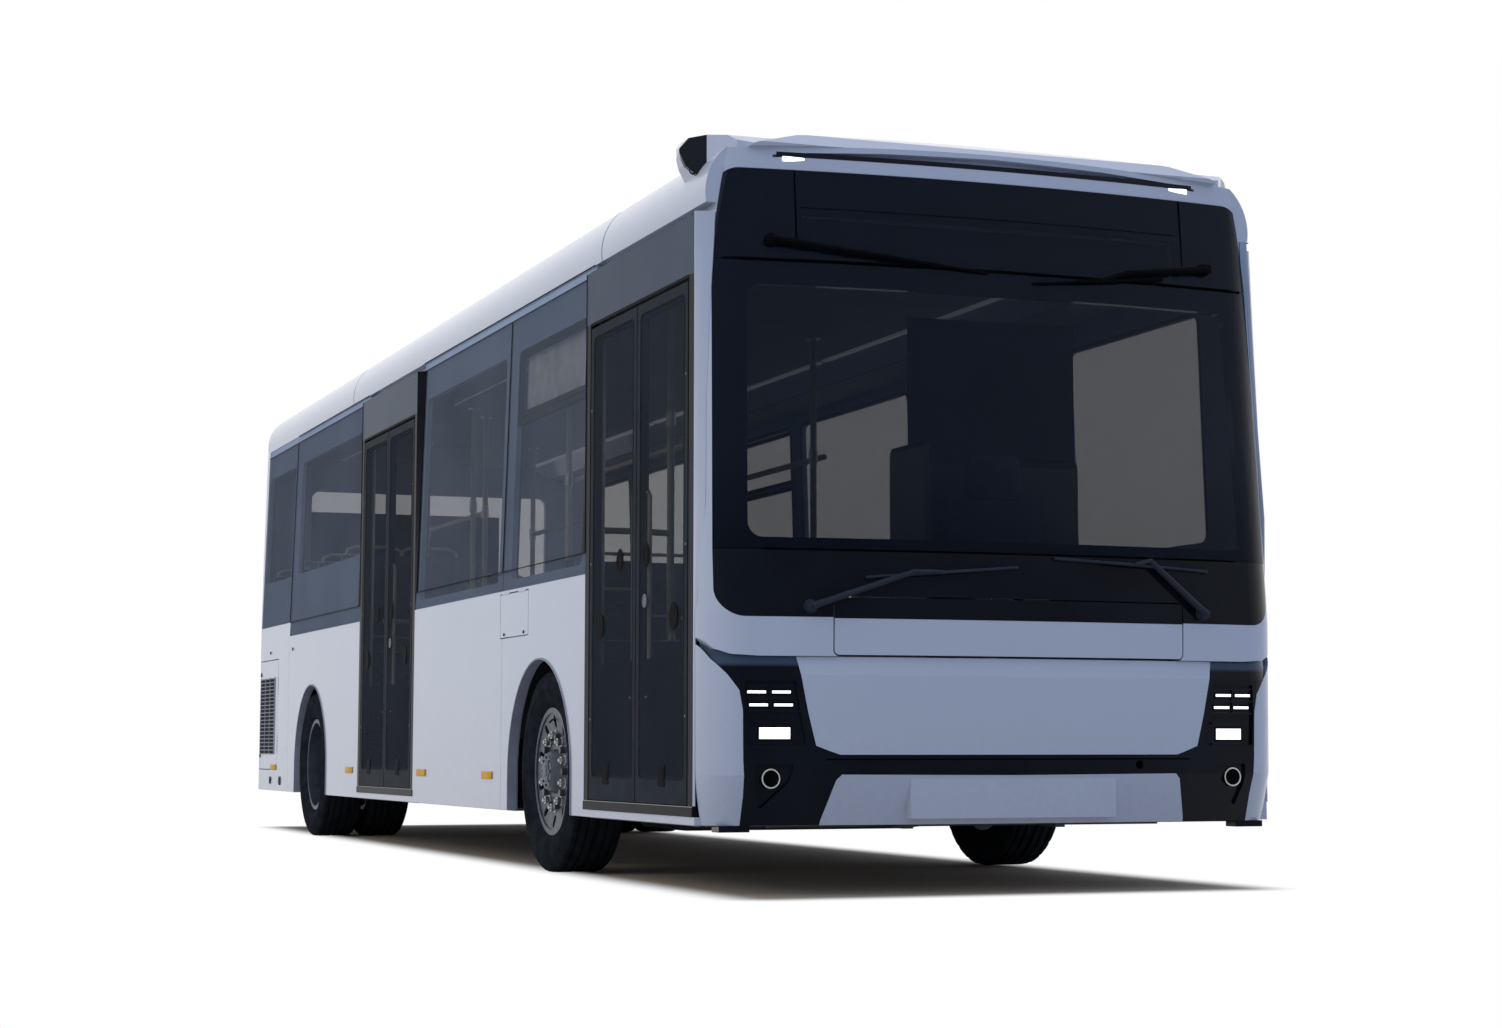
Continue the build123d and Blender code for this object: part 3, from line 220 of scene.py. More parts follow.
def glass_material(name, color, alpha, ior, sheen=WHITE):
    """Tinted safety glass that light passes through; the alpha counts on both of its faces."""
    made = Finish(name, color, 0.02, Alpha=alpha, IOR=ior, Specular_Tint=sheen)
    made.shade(made.noise(1.4, 3.0), scaled(color, 0.9), scaled(color, 1.12))
    # The windscreen gets painted darker reflections low down
    if sheen != WHITE:
        made.darken_low(scaled(sheen, 0.2), sheen)
    return made.mat


def doorway_material():
    """Doorway frames: black posts below, a header in the colour of the window band, a blue-grey that is a painted sky
    reflection on black.
    """
    made = Finish("doorway", (0.02, 0.02, 0.02), 0.3, IOR=1.09)
    noise = made.noise(2.5, 3.0)
    low = made.ramp(noise, (0.3, (0.007, 0.009, 0.012)), (0.7, (0.011, 0.013, 0.017)))
    # Painted sky reflection: the header's blue-grey above the black posts
    high = made.ramp(noise, (0.3, (0.06, 0.08, 0.112)), (0.7, (0.07, 0.092, 0.128)))
    made.set(Base_Color=made.mix(made.height_fade(2.45, 2.454), high, low))
    made.bump(made.noise(300.0, 2.0), 0.04, 0.0004)
    return made.mat


def steel_material():
    """Brushed steel."""
    made = Finish("steel_brushed", (0.42, 0.43, 0.44), 0.34, Metallic=1.0)
    grain = made.noise(60.0, stretch=(1.0, 1.0, 14.0))
    made.rough(grain, 0.26, 0.44)
    made.bump(grain, 0.06, 0.0003)
    return made.mat


def floor_sheet_material():
    """Speckled anti-slip floor sheet."""
    made = Finish("floor_sheet", (0.12, 0.125, 0.14), 0.6)
    cells = made.new("TexVoronoi", "Distance", {"Vector": made.place(), "Scale": 220.0})
    made.set(Base_Color=made.ramp(cells, (0.12, (0.3, 0.31, 0.33)), (0.22, (0.1, 0.105, 0.12))))
    made.bump(cells, 0.2, 0.0006)
    return made.mat


def fabric_material():
    """Woven seat cloth in dark blue-grey."""
    made = Finish("seat_cloth", (0.06, 0.075, 0.13), 0.85, Sheen_Weight=0.4)
    threads = [made.new("TexWave", "Fac", {"Vector": made.place(), "Scale": 160.0}, bands_direction=axis)
               for axis in "XZ"]
    made.shade(made.noise(30.0, 5.0), (0.045, 0.055, 0.1), (0.085, 0.1, 0.16))
    made.bump(made.maths("MULTIPLY", *threads), 0.35, 0.0008)
    return made.mat


def lamp_material(name, color, strength):
    """A lit lamp face."""
    return surface(name, color, 0.2, (90.0, 2.0, scaled(color, 0.92), color), Emission_Color=color,
                   Emission_Strength=strength)


def lens_material(name, color, alpha):
    """A clear or tinted lamp lens with fine flutes."""
    made = Finish(name, color, 0.05, Alpha=alpha, Coat_Weight=1.0, Coat_Roughness=0.02)
    made.shade(made.noise(20.0), scaled(color, 0.85), color)
    made.bump(made.new("TexWave", "Fac", {"Vector": made.place(), "Scale": 60.0}), 0.2, 0.0006)
    return made.mat


paint = paint_material()
gloss_black = gloss_black_material()
doorway = doorway_material()
steel = steel_material()
floor_sheet = floor_sheet_material()
seat_cloth = fabric_material()
side_glass = glass_material("side_glass", (0.158, 0.178, 0.208), 0.36, 1.01)
screen_glass = glass_material("screen_glass", (0.006, 0.009, 0.016), 0.58, 1.5, (0.15, 0.2, 0.3))
door_glass = glass_material("door_glass", (0.046, 0.053, 0.063), 0.42, 1.01)
white_lamp = lamp_material("lamp_white", (0.95, 0.96, 1.0), 1.6)
light_strip = lamp_material("light_strip", (0.9, 0.92, 0.95), 0.12)
red_lens = lens_material("lens_red", (0.45, 0.012, 0.012), 1.0)
clear_lens = lens_material("lens_clear", (0.75, 0.78, 0.82), 0.3)
amber_lens = plain("lens_amber", (0.78, 0.38, 0.015), 0.35, 1.12)
seam_black = plain("seam_black", (0.002, 0.002, 0.002), 0.7, 1.03)
fitting_black = plain("fitting_black", (0.0045, 0.005, 0.006), 0.5, 1.06)
wiper_grey = plain("wiper_grey", (0.03, 0.038, 0.052), 0.45, 1.15)
leaf_grey = plain("leaf_grey", (0.026, 0.031, 0.04), 0.45, 1.05)
blind_cloth = plain("blind_cloth", (0.74, 0.69, 0.64), 0.8, 1.2)
partition_dark = plain("partition_dark", (0.01, 0.012, 0.016), 0.6, 1.01)
shelf_grey = plain("shelf_grey", (0.06, 0.082, 0.118), 0.6, 1.01)
kick_grey = plain("kick_grey", (0.004, 0.005, 0.007), 0.5, 1.01)
# Side bands behind the glass: black, with the sky's reflection painted into their pale blue-grey colour
band_painted_sky = surface("band_painted_sky", (0.37, 0.44, 0.55), 0.16,
                     (2.0, 3.0, (0.35, 0.42, 0.53), (0.39, 0.46, 0.57)), IOR=1.02)
satin_black = surface("satin_black", (0.008, 0.01, 0.014), 0.42,
                      (6.0, 4.0, (0.006, 0.008, 0.011), (0.011, 0.013, 0.017)), (40.0, 0.36, 0.52),
                      (520.0, 3.0, 0.12, 0.0004), IOR=1.09)
arch_lip = surface("arch_lip", (0.31, 0.325, 0.37), 0.5,
                   (8.0, 5.0, (0.28, 0.295, 0.335), (0.34, 0.355, 0.4)), None, (420.0, 3.0, 0.12, 0.0005),
                   IOR=1.15)
grey_plastic = surface("grey_plastic", (0.09, 0.095, 0.105), 0.55,
                       (5.0, 4.0, (0.075, 0.08, 0.09), (0.105, 0.11, 0.12)), None,
                       (420.0, 3.0, 0.15, 0.0005))
# Tyre rubber with dust in the texture, and wheel paint with brake dust
tyre_rubber = surface("tyre_rubber", (0.018, 0.02, 0.023), 0.85,
                      (14.0, 6.0, (0.014, 0.016, 0.019), (0.025, 0.028, 0.033)), (60.0, 0.66, 0.9),
                      (300.0, 4.0, 0.25, 0.0008), IOR=1.03)
wheel_paint = surface("wheel_paint", (0.06, 0.07, 0.09), 0.4,
                      (16.0, 6.0, (0.034, 0.043, 0.06), (0.064, 0.077, 0.102)), (30.0, 0.3, 0.5),
                      (240.0, 4.0, 0.08, 0.0005), Metallic=0.3)
chrome = surface("chrome_bright", (0.72, 0.73, 0.75), 0.12, gloss=(80.0, 0.08, 0.2), Metallic=1.0)
# Soft black rubber for seals, bellows and blades
rubber = surface("rubber_black", (0.01, 0.01, 0.011), 0.7, None, (50.0, 0.6, 0.82),
                 (500.0, 4.0, 0.1, 0.0003), IOR=1.15)
# Satin underbody paint with road dust
chassis_paint = surface("chassis_paint", (0.03, 0.03, 0.033), 0.6,
                        (7.0, 6.0, (0.022, 0.022, 0.024), (0.06, 0.056, 0.052)), None,
                        (160.0, 4.0, 0.2, 0.001), Metallic=0.2)
pole_coating = surface("pole_coating", (0.62, 0.56, 0.36), 0.35,
                       (9.0, 4.0, (0.58, 0.52, 0.33), (0.66, 0.6, 0.4)), (60.0, 0.28, 0.45))
# Ceiling lining: painted shade, a dark grey standing in for the shade inside the bus on a lining that is light grey
lining = surface("ceiling_lining", (0.2, 0.205, 0.215), 0.7,
                 (3.0, 4.0, (0.18, 0.185, 0.195), (0.22, 0.225, 0.235)), None, (340.0, 3.0, 0.15, 0.0005))
# Milky acrylic of the roof hatches
hatch_acrylic = surface("hatch_acrylic", (0.48, 0.5, 0.53), 0.3,
                        (5.0, 5.0, (0.42, 0.44, 0.46), (0.54, 0.56, 0.6)), (30.0, 0.22, 0.45))

# CAD nodes and the material that each one gets
node_materials = {
    paint: ["front_flap", "front_surround", "front_panels", "roof", "roof_front", "side_wall_right",
            "side_wall_left", "side_flap", "service_door", "rear_wall", "rear_hatch"],
    gloss_black: ["front_mask", "front_bumper", "camera_pods"],
    band_painted_sky: ["window_band_right", "window_band_left"],
    satin_black: ["rear_bumper", "wipers", "steering_wheel"],
    doorway: ["door_frames"],
    grey_plastic: ["roof_unit", "dashboard", "driver_partition"],
    floor_sheet: ["floor", "wheel_boxes"],
    chassis_paint: ["chassis", "front_axle", "rear_axle", "traction_motor", "battery_packs",
                    "knuckle_right", "knuckle_left"],
    rubber: ["air_springs"],
    wheel_paint: ["front_rim_right", "front_rim_left", "rear_rims_right", "rear_rims_left"],
    tyre_rubber: ["front_tyre_right", "front_tyre_left", "rear_tyres_right", "rear_tyres_left"],
    seat_cloth: ["seats"],
    pole_coating: ["poles"],
    side_glass: ["windows"],
    screen_glass: ["windscreen"],
    white_lamp: ["headlamps"],
    red_lens: ["rear_lamps"],
    leaf_grey: [],
    door_glass: [],
    steel: [],
}
for door in ("front_door_rear", "front_door_front", "rear_door_rear", "rear_door_front"):
    for material, part in ((leaf_grey, "leaf"), (door_glass, "pane"), (steel, "arm")):
        node_materials[material].append(f"{door}_{part}")
for material, names in node_materials.items():
    for name in names:
        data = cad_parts[name].data
        data.materials.clear()
        data.materials.append(material)


# Shapes put together from simple solids


def spread(start, end, parts):
    """Evenly spaced numbers from start to end."""
    return [start + (end - start) * k / parts for k in range(parts + 1)]


def circle(centre, radius, start, end, parts):
    """Points of a plane on an arc, between two angles in degrees."""
    return [(centre[0] + radius * math.cos(a), centre[1] + radius * math.sin(a))
            for a in spread(math.radians(start), math.radians(end), parts)]


def rounded(a0, a1, b0, b1, corner, parts=6):
    """Corner centres and directions round a rectangle with rounded corners."""
    loop = []
    for a, b, start in ((a1 - corner, b1 - corner, 0), (a0 + corner, b1 - corner, 90),
                        (a0 + corner, b0 + corner, 180), (a1 - corner, b0 + corner, 270)):
        loop += [(a, b, c, s) for c, s in circle((0.0, 0.0), 1.0, start, start + 90, parts)]
    return loop


def front_apex(z):
    """The place of the front's middle at a height."""
    rows = [(0.276, -5.012), (0.47, -5.08), (1.1, -5.095), (3.01, -4.9285)]
    for (z0, y0), (z1, y1) in zip(rows, rows[1:]):
        if z <= z1:
            break
    return y0 + (y1 - y0) * (z - z0) / (z1 - z0)


def nose_y(x, z):
    """The place of the front's skin."""
    x = abs(x)
    apex = front_apex(z)
    inner = HALF - CORNER
    if x <= inner * BOW / (BOW - CORNER):
        return apex + BOW - math.sqrt(BOW**2 - x**2)
    middle = apex + BOW - math.sqrt((BOW - CORNER) ** 2 - inner**2)
    return middle - math.sqrt(max(0.0, CORNER**2 - (x - inner) ** 2))


def nose_point(x, z, out=0.0):
    """A point of the front's skin, moved outwards."""
    step = 0.004
    slope = (nose_y(x + step, z) - nose_y(x - step, z)) / (2 * step)
    size = math.hypot(slope, 1.0)
    return Vector((x + out * slope / size, nose_y(x, z) - out / size, z))


def side_x(z):
    """The body's half width at a height."""
    return HALF - LEAN * max(0.0, z - BELT_Z) / (GLASS_TOP - BELT_Z)


def rear_y(x):
    """The place of the rear face."""
    rear, bow = 5.1, 14.0
    return rear - (bow - math.sqrt(bow**2 - x**2))


def turned(centre, axis, along, a, b):
    """A point from its distance along an axis and two distances across it."""
    x, y, z = centre
    return {"X": (x + along, y + a, z + b), "Y": (x + a, y + along, z + b), "Z": (x + a, y + b, z + along)}[axis]


class Shape:
    """One mesh made from several simple solids, each with its own material slot; make() starts it anew."""

    def __init__(self):
        self.mesh = bmesh.new()
        self.slot = 0

    def face(self, corners):
        """A face in the current slot."""
        self.mesh.faces.new(corners).material_index = self.slot

    def rings(self, rows, caps=True):
        """A skin over closed rings of points."""
        made = [[self.mesh.verts.new(point) for point in row] for row in rows]
        for low, high in zip(made, made[1:]):
            for i in range(len(low)):
                j = (i + 1) % len(low)
                self.face((low[i], low[j], high[j], high[i]))
        if caps:
            self.face(made[0][::-1])
            self.face(made[-1])
        return self

    def box(self, low, high):
        """A box between two corners."""
        (x0, y0, z0), (x1, y1, z1) = low, high
        return self.rings([[(x0, y0, z), (x1, y0, z), (x1, y1, z), (x0, y1, z)] for z in (z0, z1)])

    def prism(self, points, axis, low, high):
        """An outline in the two other axes, drawn out along one."""
        return self.rings([[turned((0, 0, 0), axis, c, a, b) for a, b in points] for c in (low, high)])

    def rod(self, start, end, radius, end_radius=None, sides=20):
        """A round bar or cone between two points."""
        return self.tube([start, end], radius, sides, end_radius)

    def pin(self, centre, low, high, radius, end_radius=None, sides=20, axis="X"):
        """A round bar along an axis, between two distances from its centre."""
        return self.rod(*(turned(centre, axis, d, 0.0, 0.0) for d in (low, high)), radius, end_radius, sides)

    def tube(self, path, radius, sides=12, end_radius=None, flat=1.0):
        """A round or flattened bar along a path."""
        path = [Vector(point) for point in path]
        rows = []
        for i, point in enumerate(path):
            ahead = (path[min(i + 1, len(path) - 1)] - path[max(i - 1, 0)]).normalized()
            side = ahead.cross(Vector((0.0, 0.0, 1.0)))
            if side.length < 0.05:
                side = ahead.cross(Vector((0.0, 1.0, 0.0)))
            side.normalize()
            lift = side.cross(ahead)
            share = i / (len(path) - 1)
            size = radius if end_radius is None else radius + (end_radius - radius) * share
            rows.append([point + (side * math.cos(a) * flat + lift * math.sin(a)) * size
                         for a in spread(0.0, math.tau, sides)[:-1]])
        return self.rings(rows)

    def turn(self, profile, centre, steps=64, axis="X", caps=False, ripple=None):
        """A profile of (along, radius) turned about an axis through the centre."""
        made = []
        for step in range(steps):
            angle = math.tau * step / steps
            row = []
            for k, (along, radius) in enumerate(profile):
                if ripple:
                    radius = ripple(step, k, radius)
                point = turned(centre, axis, along, radius * math.cos(angle), radius * math.sin(angle))
                row.append(self.mesh.verts.new(point))
            made.append(row)
        for low, high in zip(made, made[1:] + made[:1]):
            for k in range(len(low) - caps):
                m = (k + 1) % len(low)
                self.face((low[k], low[m], high[m], high[k]))
        if caps:
            for end in (0, -1):
                self.face([row[end] for row in made])
        return self

    def patch(self, xs, low_z, high_z, out0, out1):
        """A strip that follows the front's skin between two heights."""
        return self.rings([[nose_point(x, low_z, out0), nose_point(x, low_z, out1),
                            nose_point(x, high_z, out1), nose_point(x, high_z, out0)] for x in xs])

    def side(self, y0, y1, z0, z1, sign, out0, out1):
        """A flat strip that follows the leaning side of the body."""
        corners = ((z0, out0), (z0, out1), (z1, out1), (z1, out0))
        return self.rings([[(sign * (side_x(z) + out), y, z) for z, out in corners] for y in (y0, y1)])

    def rear(self, x0, x1, z0, z1, out0, out1, parts=10):
        """A strip on the bowed rear face."""
        corners = ((out0, z0), (out1, z0), (out1, z1), (out0, z1))
        return self.rings([[(x, rear_y(x) + out, z) for out, z in corners] for x in spread(x0, x1, parts)])

    def make(self, name, materials, slot, body="body", bevel=0.0, sharp=35.0, replaces=()):
        """Turn the mesh into a piece that rides on a body."""
        bmesh.ops.recalc_face_normals(self.mesh, faces=self.mesh.faces[:])
        for edge in self.mesh.edges:
            edge.smooth = len(edge.link_faces) == 2 and edge.calc_face_angle(0.0) < math.radians(sharp)
        for face in self.mesh.faces:
            face.smooth = True
        data = bpy.data.meshes.new(name)
        self.mesh.to_mesh(data)
        self.mesh.free()
        for material in materials if isinstance(materials, list) else [materials]:
            data.materials.append(material)
        thing = bpy.data.objects.new(name, data)
        scene.collection.objects.link(thing)
        if bevel > 0.0:
            modifier = thing.modifiers.new("edges", "BEVEL")
            modifier.width = bevel
            modifier.segments = 2
            modifier.limit_method = "ANGLE"
            modifier.angle_limit = math.radians(40.0)
        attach(thing, body)
        if replaces:
            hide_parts(*replaces)
        self.__init__()
        return thing


shape = Shape()

# Tyres with ribs, shoulder cuts and sidewall rings: half of the section as (along, radius)
tyre_half = [
    (0.098, 0.2865), (0.1005, 0.3), (0.116, 0.318), (0.128, 0.345), (0.1335, 0.372), (0.1325, 0.3745),
    (0.1355, 0.377), (0.1365, 0.392), (0.1335, 0.414), (0.1315, 0.417), (0.133, 0.4205), (0.128, 0.44),
    (0.1215, 0.455), (0.112, 0.4635), (0.092, 0.4665), (0.0905, 0.466), (0.088, 0.455), (0.08, 0.455),
    (0.0775, 0.467), (0.0515, 0.467), (0.049, 0.454), (0.041, 0.454), (0.0385, 0.467), (0.0125, 0.467),
    (0.01, 0.454), (0.003, 0.454)]
tyre_section = tyre_half + [(-along, radius) for along, radius in tyre_half[::-1]]


def tread_cut(step, k, radius):
    """Short cuts across both shoulders."""
    on_shoulder = min(k, len(tyre_section) - 1 - k) in (12, 13, 14, 15)
    return radius - 0.005 if on_shoulder and step % 6 == 0 else radius


def studs(hub, sign, radius, count, start, rods):
    """Rods along the axle, evenly round it; each is (low, high, radius, end radius, sides)."""
    for k in range(count):
        angle = math.tau * k / count + start
        centre = turned(hub, "X", 0.0, radius * math.cos(angle), radius * math.sin(angle))
        for low, high, *size in rods:
            shape.pin(centre, sign * low, sign * high, *size)


wheel_sets = {
    "front_wheel_right": ("front_tyre_right", -2.61, (-1.105,)),
    "front_wheel_left": ("front_tyre_left", -2.61, (1.105,)),
    "rear_wheels_right": ("rear_tyres_right", 2.965, (-1.13, -0.82)),
    "rear_wheels_left": ("rear_tyres_left", 2.965, (1.13, 0.82)),
}
for body, (node, y, xs) in wheel_sets.items():
    for x in xs:
        shape.turn(tyre_section, (x, y, HUB_Z), steps=150, ripple=tread_cut)
    shape.make(f"{body}_tyre", tyre_rubber, "tyre", body, sharp=28.0, replaces=(node,))

    # Nuts with washers, the hub's bolts, its cap and the valve
    x = xs[0]
    sign = 1.0 if x > 0 else -1.0
    face, hub_end = (0.084, 0.132) if body.startswith("front") else (-0.088, 0.04)
    hub = (x, y, HUB_Z)
    studs(hub, sign, 0.1675, 10, math.radians(18.0), (
        (face, face + 0.006, 0.024, None, 20), (face + 0.006, face + 0.026, 0.0195, None, 6),
        (face + 0.026, face + 0.036, 0.011, 0.009, 12)))
    shape.slot = 1
    studs(hub, sign, 0.064, 8, 0.0, ((hub_end, hub_end + 0.006, 0.0075, None, 6),))
    studs(hub, sign, 0.0, 1, 0.0, (
        (hub_end, hub_end + 0.005, 0.05, 0.047, 40), (hub_end + 0.005, hub_end + 0.009, 0.03, 0.026, 32)))
    shape.make(f"{body}_nuts", [steel, wheel_paint], "wheel_steel", body, bevel=0.0008)
    valve = [(x + sign * (face + out), y, HUB_Z + up) for out, up in ((0.004, 0.236), (0.02, 0.24), (0.034, 0.225))]
    shape.tube(valve, 0.0045, 10).make(f"{body}_valve", rubber, "rubber", body)

# Wheel arch trims
ARCH, ARCH_Z, TRIM = 0.545, 0.45, 0.008
arch_path = [(-ARCH, SKIRT_Z)] + circle((0.0, ARCH_Z), ARCH, 180, 0, 32) + [(ARCH, SKIRT_Z)]
for arch_y in (-2.61, 2.96):
    for sign in SIDES:
        rows = []
        for dy, z in arch_path:
            inward = Vector((dy, max(0.0, z - ARCH_Z))).normalized() * TRIM
            outer, inner = sign * (HALF + 0.001), sign * (HALF - 0.046)
            y, iy, iz = arch_y + dy, arch_y + dy - inward.x, z - inward.y
            rows.append([(outer, y, z), (outer, iy, iz), (inner, iy, iz), (inner, y, z)])
        shape.rings(rows)
shape.make("arch_trims", arch_lip, "black_trim")

# Lamps: glowing bars, headlamps and fog lamps in their bezels
bars = [(0.936, 1.02, 0.78, 0.802), (1.034, 1.118, 0.78, 0.802), (0.927, 1.012, 0.73, 0.752),
        (1.026, 1.11, 0.73, 0.752), (0.937, 1.07, 0.604, 0.66)]
for sign in SIDES:
    for shape.slot, inset, out0, out1 in ((0, 0.006, -0.03, -0.006), (1, 0.0, -0.045, -0.012)):
        for x0, x1, z0, z1 in bars:
            xs = [sign * x for x in spread(x0 + inset, x1 - inset, 4)]
            shape.patch(xs, z0 + inset, z1 - inset, out0, out1)
    fog = (sign * 1.018, nose_y(1.018, 0.457), 0.457)
    shape.turn([(0.04, 0.038), (0.004, 0.038), (0.0, 0.03), (0.01, 0.02), (0.018, 0.0)], fog, 40, "Y", caps=True)
    shape.slot = 2
    shape.turn([(0.004, 0.0385), (-0.004, 0.0385), (-0.006, 0.036), (-0.004, 0.033), (0.004, 0.033)], fog, 40, "Y")
shape.make("lamp_units", [white_lamp, fitting_black, steel], "lamp_glass", replaces=("headlamps",))

for sign in SIDES:
    for z in (0.717, 0.7665, 0.817):
        shift = 0.905 - (0.817 - z) * 0.1
        shape.patch([sign * x for x in spread(shift, shift + 0.225, 6)], z - 0.004, z + 0.004, -0.016, -0.004)
    for x in (1.023, 0.905):
        shape.patch([sign * (x - 0.003), sign * (x + 0.003)], 0.72, 0.812, -0.016, -0.006)
    for z0, z1 in ((0.588, 0.594), (0.672, 0.68)):
        shape.patch([sign * x for x in spread(0.915, 1.095, 6)], z0, z1, -0.016, -0.003)
shape.make("lamp_fins", gloss_black, "black_trim", bevel=0.0008)

# A fine groove line along the bumper bar
shape.patch(spread(-0.8, 0.8, 32), 0.5285, 0.5335, -0.004, 0.0012).make("bumper_line", seam_black, "rubber")

# The flap's upper part is black as the glass over it, with its two pins
for z0, z1 in ((1.079, 1.1), (1.1, 1.1612)):
    shape.patch(spread(-0.7685, 0.7685, 32), z0, z1, -0.0255, 0.0008)
for x in (-0.09, 0.09):
    shape.pin((x, -5.0898, 1.164), -0.0193, 0.0193, 0.0048)
shape.make("flap_black_part", gloss_black, "black_trim", "front_flap")

# Dark slot between the white band over the glass and the housing
shape.patch(spread(-0.945, 0.945, 40), 2.9375, 2.9575, -0.003, 0.0007).make("cap_slot", gloss_black, "black_trim")

# Seams in the windscreen's upper part and the edge of the display zone
for sign in SIDES:
    shape.patch([sign * 0.87, sign * 0.8765], 2.6, 2.884, -0.001, 0.0006)
for half, parts, z0, z1, low, high in (
        (0.85, 32, 2.728, 2.7305, -0.001, 0.0006), (1.17, 48, 2.5035, 2.5165, -0.003, 0.0007),
        (1.05, 40, 1.344, 1.3515, -0.003, 0.0007)):
    shape.patch(spread(-half, half, parts), z0, z1, low, high)
shape.make("screen_seams", seam_black, "rubber")

# White pillar covers between the doorway or side wall and the front's edge: height, inner corner of the front
pillar_rows = [(0.35, -1.2735, -4.853), (1.1, -1.2735, -4.853), (1.15, -1.2715, -4.87),
               (1.54, -1.248, -4.8955), (1.94, -1.2385, -4.8735), (2.34, -1.218, -4.862),
               (2.6, -1.202, -4.858), (2.7, -1.198, -4.856)]
PILLAR_Y = -4.8315
for sign in (1, -1):
    rows = []
    for z, x, y in pillar_rows:
        start = -1.2752
        if sign < 0:
            start = -side_x(z) - 0.0004
            x = x if z < BELT_Z else min(x, 0.012 - side_x(z))
        bulge = ((start + x) / 2 - 0.0045, (PILLAR_Y + y) / 2 - 0.0055)
        ring = [(start, PILLAR_Y), (start, PILLAR_Y - 0.006), bulge, (x, y), (x + 0.008, y + 0.012),
                (start + 0.013, PILLAR_Y)]
        rows.append([(sign * px, py, z) for px, py in ring])
    shape.rings(rows)
shape.make("pillar_covers", paint, "white_paint", sharp=50.0)

# Wipers: pivots with caps, tapered arms, blade holders and rubber blades
wiper_rows = [  # pivot, elbow, two ends of the blade
    ((-0.866, 1.124), (-0.444, 1.266), (-0.64, 1.24), (0.009, 1.293)),
    ((0.866, 1.124), (0.609, 1.336), (0.175, 1.334), (0.9, 1.3)),
    ((-0.98, 2.59), (-0.7, 2.56), (-0.74, 2.56), (-0.06, 2.5)),
    ((0.98, 2.59), (0.56, 2.54), (0.14, 2.47), (0.76, 2.53)),
]


def over_skin(a, b, rows):
    """Points over the front's skin, at shares of the way from a to b; each row is (share, height)."""
    return [nose_point(a[0] + (b[0] - a[0]) * t, a[1] + (b[1] - a[1]) * t, out) for t, out in rows]


blades = Shape()
for pivot, elbow, blade_a, blade_b in wiper_rows:
    middle = [(a + b) / 2 for a, b in zip(blade_a, blade_b)]
    shape.slot = 0 if pivot[1] < 2.0 else 1
    for low, high, *size in ((-0.002, 0.012, 0.029, 0.027, 28), (0.012, 0.034, 0.024, 0.021, 28),
                             (0.034, 0.038, 0.014, 0.01, 20)):
        shape.rod(nose_point(*pivot, low), nose_point(*pivot, high), *size)
    arm = over_skin(pivot, elbow, [(t, 0.028) for t in (0.0, 0.15, 0.5, 1.0)])
    shape.tube(arm + over_skin(elbow, middle, [(0.6, 0.028), (1.0, 0.024)]), 0.015, 12, 0.0085, flat=1.5)
    shape.tube(over_skin(blade_a, blade_b, [(0.3, 0.019), (0.38, 0.025), (0.5, 0.025), (0.62, 0.025),
                                            (0.7, 0.019)]), 0.006, 8)
    for low, high in ((0.06, 0.5), (0.5, 0.94)):
        near, far = low + (high - low) * 0.25, low + (high - low) * 0.75
        rows = [(low, 0.013), (near, 0.018), (far, 0.018), (high, 0.013)]
        shape.tube(over_skin(blade_a, blade_b, rows), 0.0045, 8)
    shape.tube(over_skin(blade_a, blade_b, [(t, 0.0105) for t in spread(0.0, 1.0, 12)]), 0.0065, 8)
    blades.tube(over_skin(blade_a, blade_b, [(t, 0.0045) for t in spread(0.0, 1.0, 16)]), 0.0045, 8, flat=0.5)
shape.make("wiper_arms", [wiper_grey, fitting_black], "black_trim", replaces=("wipers",))
blades.make("wiper_blades", rubber, "rubber")

# Camera lenses under the horn ends, and small marker lamps over the glass
for sign in SIDES:
    turn = math.radians(-40.0)
    ahead = Vector((sign * math.cos(turn), math.sin(turn), 0.0))
    for z, size in ((2.905, 0.021), (2.958, 0.017)):
        centre = Vector((sign * 1.2235, -4.6645, z))
        shape.slot = 0
        shape.rod(centre - ahead * 0.004, centre + ahead * 0.0025, size, size * 0.94, 32)
        shape.slot = 1
        shape.rod(centre + ahead * 0.0025, centre + ahead * 0.0032, size * 0.62, size * 0.55, 28)
    shape.slot = 2
    y = nose_y(0.869, 2.933)
    shape.tube([(sign * 0.828, y - 0.001, 2.929), (sign * 0.92, y + 0.005, 2.929)], 0.011, 14, flat=0.35)
shape.make("camera_lenses", [gloss_black, clear_lens, white_lamp], "lamp_glass")

# Destination display behind the upper glass, with its louvred housing
shape.box((-0.845, -4.85, 2.545), (0.845, -4.76, 2.7))
for z in spread(2.556, 2.688, 8):
    shape.box((-0.835, -4.856, z), (0.835, -4.85, z + 0.004))
shape.make("display_box", satin_black, "black_trim", bevel=0.003)

